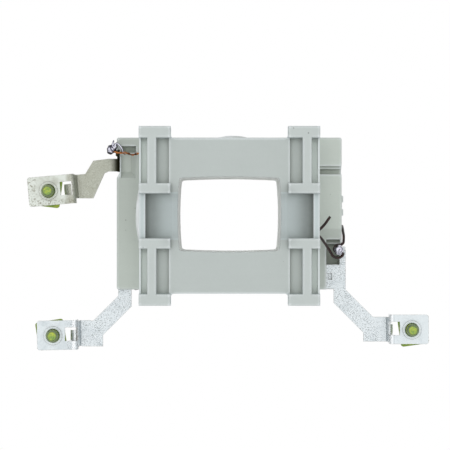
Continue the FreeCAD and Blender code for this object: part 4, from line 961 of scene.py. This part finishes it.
def tabCorners(tip, under):
    # A rectangle carried along a quarter ellipse that is level at the root and upright at the tip
    drop, half, wide = tabShape["drop"], tabShape["sheet"] / 2, tabShape["width"] / 2
    reach = tabShape["root"] - tip
    angle = np.linspace(0.0, math.pi / 2, tabShape["stations"])
    out = tabShape["root"] - reach * np.sin(angle)
    level = under + tabShape["sheet"] - drop * (1 - np.cos(angle))
    lean = np.stack([-drop * np.sin(angle), reach * np.cos(angle)])
    lean *= half / np.linalg.norm(lean, axis=0)
    edge = np.full_like(out, wide)
    corners = [np.stack([out + lift * lean[0], shift * edge, level + lift * lean[1]], axis=1)
               for lift, shift in ((1, -1), (1, 1), (-1, 1), (-1, -1))]
    return np.stack(corners, axis=1).reshape(-1, 3)


def buildTab(clamp):
    tab = tabs[clamp]
    low, high = boxOf(clamp + "_clamp_screw")
    axis = (low + high) / 2
    local = tabCorners(tab["tip"], boxOf(clamp + "_clamp_washer")[1][2])
    out, shift = local[:, 0] * tab["side"], local[:, 1]
    turn = math.radians(tab["turn"])
    points = np.stack([axis[0] + out * math.cos(turn) - shift * math.sin(turn),
                       axis[1] + out * math.sin(turn) + shift * math.cos(turn), local[:, 2]], axis=1)
    rows = tabShape["stations"]
    piece = makeObject(clamp.replace("_", "") + "ClampTab", points, ringFaces(rows, 4) + capFaces(rows, 4))
    rounded = piece.modifiers.new("rounded", "BEVEL")
    rounded.width = tabShape["bevel"]
    rounded.segments = 2
    bakeModifiers(piece)
    finishPiece(piece, clamp + "_terminal", 50, False)


for clamp in tabs:
    buildTab(clamp)
print("clamp tabs built")


# Enamel coat on the two fine leads: the CAD tube, pushed out along its normals

coatShape = {"thickness": 0.08, "weld": 0.001}


def buildCoat(node):
    coated = nodes[node].copy()
    coated.data = nodes[node].data.copy()
    coated.name = node.replace("_", "") + "Coat"
    coated.data.vertices.foreach_set("co", (readPoints(coated.data) / milli).ravel())
    scene.collection.objects.link(coated)
    merged = coated.modifiers.new("merged", "WELD")
    merged.merge_threshold = coatShape["weld"]
    swollen = coated.modifiers.new("swollen", "DISPLACE")
    swollen.direction = "NORMAL"
    swollen.mid_level = 0.0
    swollen.strength = coatShape["thickness"]
    bakeModifiers(coated)
    finishPiece(coated, node)


for node in ("finish_lead", "jumper_lead"):
    buildCoat(node)
print("enamel coats built")


# Start lead: two bare strands twisted together, from the winding to the upper left tag

startShape = {
    "points": [(-22.6, 15.3, 16.0), (-23.9, 16.6, 15.0), (-25.3, 17.15, 14.3), (-27.3, 16.85, 13.7),
               (-28.5, 17.25, 13.5), (-30.2, 17.4, 13.5), (-31.8, 17.5, 13.4), (-32.6, 17.9, 13.0)],
    "strand": 0.17, "twist": 2.3, "apart": 0.17, "looseness": 0.5, "looseRate": 1.7,
    "steps": 22, "columns": 12,
}


def buildStartLead():
    # Each strand is a helix about the lead's line, half a turn from the other, with an uneven spread
    shape = startShape
    line = smoothPath(shape["points"], shape["steps"])
    tangents = tangentsOf(line)
    lengths = np.concatenate([[0], np.cumsum(np.linalg.norm(np.diff(line, axis=0), axis=1))])
    side = np.cross(tangents, (0.0, 0.0, 1.0))
    side /= np.linalg.norm(side, axis=1)[:, None]
    over = np.cross(side, tangents)
    points, faces = np.empty((0, 3)), []
    for strand in (0, 1):
        turn = (fullTurn * lengths / shape["twist"] + math.pi * strand)[:, None]
        spread = shape["apart"] * (1 + shape["looseness"] * np.sin(lengths * shape["looseRate"] + strand))
        path = line + spread[:, None] * (np.cos(turn) * side + np.sin(turn) * over)
        more, sides = sweepTube(path, np.full(len(path), shape["strand"]), shape["columns"], len(points))
        points, faces = np.vstack([points, more]), faces + sides
    finishPiece(makeObject("startLeadStrands", points, faces), "start_lead")


buildStartLead()
print("start lead built")


# Floor, light and camera

stageLook = {
    "cameraPlace": (-0.0012, -0.0029, 0.514), "lens": 142.222, "sensor": 36.0, "clip": (0.01, 10.0),
    "floorTone": 0.8, "floorReach": 3, "floorLevel": -0.0006,
    "skyTop": (0.84, 0.86, 0.88), "skySide": (0.34, 0.37, 0.40), "skyRise": (0.1, 0.9),
    "mirrorTop": (1.12, 1.13, 1.14), "mirrorSide": (0.12, 0.14, 0.16), "mirrorRise": (0.05, 0.85),
    "lampPower": 2.0, "lampSide": 0.55, "lampPlace": (-0.06, 0.10, 0.95), "lampAim": (0, 0, 0.02),
}


def buildFloor():
    reach, level = stageLook["floorReach"], stageLook["floorLevel"]
    mesh = bpy.data.meshes.new("floor")
    mesh.from_pydata([(-reach, -reach, level), (reach, -reach, level), (reach, reach, level),
                      (-reach, reach, level)], [], [(0, 1, 2, 3)])
    floor = bpy.data.objects.new("floor", mesh)
    scene.collection.objects.link(floor)
    material = bpy.data.materials.new("floorWhite")
    material.use_nodes = True
    tree = material.node_tree
    tree.nodes.clear()
    matt = addNode(tree, "ShaderNodeBsdfDiffuse", {}, {"Color": (stageLook["floorTone"],) * 3 + (1.0,)})
    glow = addNode(tree, "ShaderNodeEmission", {}, {"Color": (1.0, 1.0, 1.0, 1.0), "Strength": 1.0})
    path = tree.nodes.new("ShaderNodeLightPath")
    seen = eitherOf(tree, path.outputs["Is Camera Ray"], path.outputs["Is Glossy Ray"])
    seen = eitherOf(tree, seen, path.outputs["Is Transmission Ray"])
    mixed = addNode(tree, "ShaderNodeMixShader", {}, {0: seen, 1: matt.outputs[0], 2: glow.outputs[0]})
    addNode(tree, "ShaderNodeOutputMaterial", {}, {0: mixed.outputs[0]})
    mesh.materials.append(material)


def buildSky():
    # One gradient lights the part, and a stronger one is what its metal mirrors
    world = bpy.data.worlds.new("sky")
    scene.world = world
    world.use_nodes = True
    tree = world.node_tree
    tree.nodes.clear()
    way = tree.nodes.new("ShaderNodeTexCoord")
    height = addNode(tree, "ShaderNodeSeparateXYZ", {}, {0: way.outputs["Generated"]}).outputs[2]
    shade, mirrored = [
        mixTone(tree, rise(tree, height, *stageLook[part + "Rise"]), stageLook[part + "Side"] + (1.0,),
                stageLook[part + "Top"] + (1.0,))
        for part in ("sky", "mirror")
    ]
    path = tree.nodes.new("ShaderNodeLightPath")
    shade = mixTone(tree, path.outputs["Is Glossy Ray"], shade, mirrored)
    sky = addNode(tree, "ShaderNodeBackground", {}, {"Color": shade, "Strength": 1.0})
    addNode(tree, "ShaderNodeOutputWorld", {}, {0: sky.outputs[0]})


def buildLamp():
    light = bpy.data.lights.new("softLamp", "AREA")
    light.shape = "SQUARE"
    light.size = stageLook["lampSide"]
    light.energy = stageLook["lampPower"]
    lamp = bpy.data.objects.new("softLamp", light)
    lamp.location = stageLook["lampPlace"]
    lamp.visible_glossy = False
    lamp.rotation_mode = "QUATERNION"
    aim = Vector(stageLook["lampAim"]) - Vector(stageLook["lampPlace"])
    lamp.rotation_quaternion = aim.to_track_quat("-Z", "Y")
    scene.collection.objects.link(lamp)


def buildCamera():
    lens = bpy.data.cameras.new("camera")
    lens.lens = stageLook["lens"]
    lens.sensor_width = stageLook["sensor"]
    lens.clip_start, lens.clip_end = stageLook["clip"]
    camera = bpy.data.objects.new("camera", lens)
    camera.location = stageLook["cameraPlace"]
    scene.collection.objects.link(camera)
    scene.camera = camera


buildFloor()
buildSky()
buildLamp()
buildCamera()
scene.view_settings.view_transform = "Standard"
print("stage built")
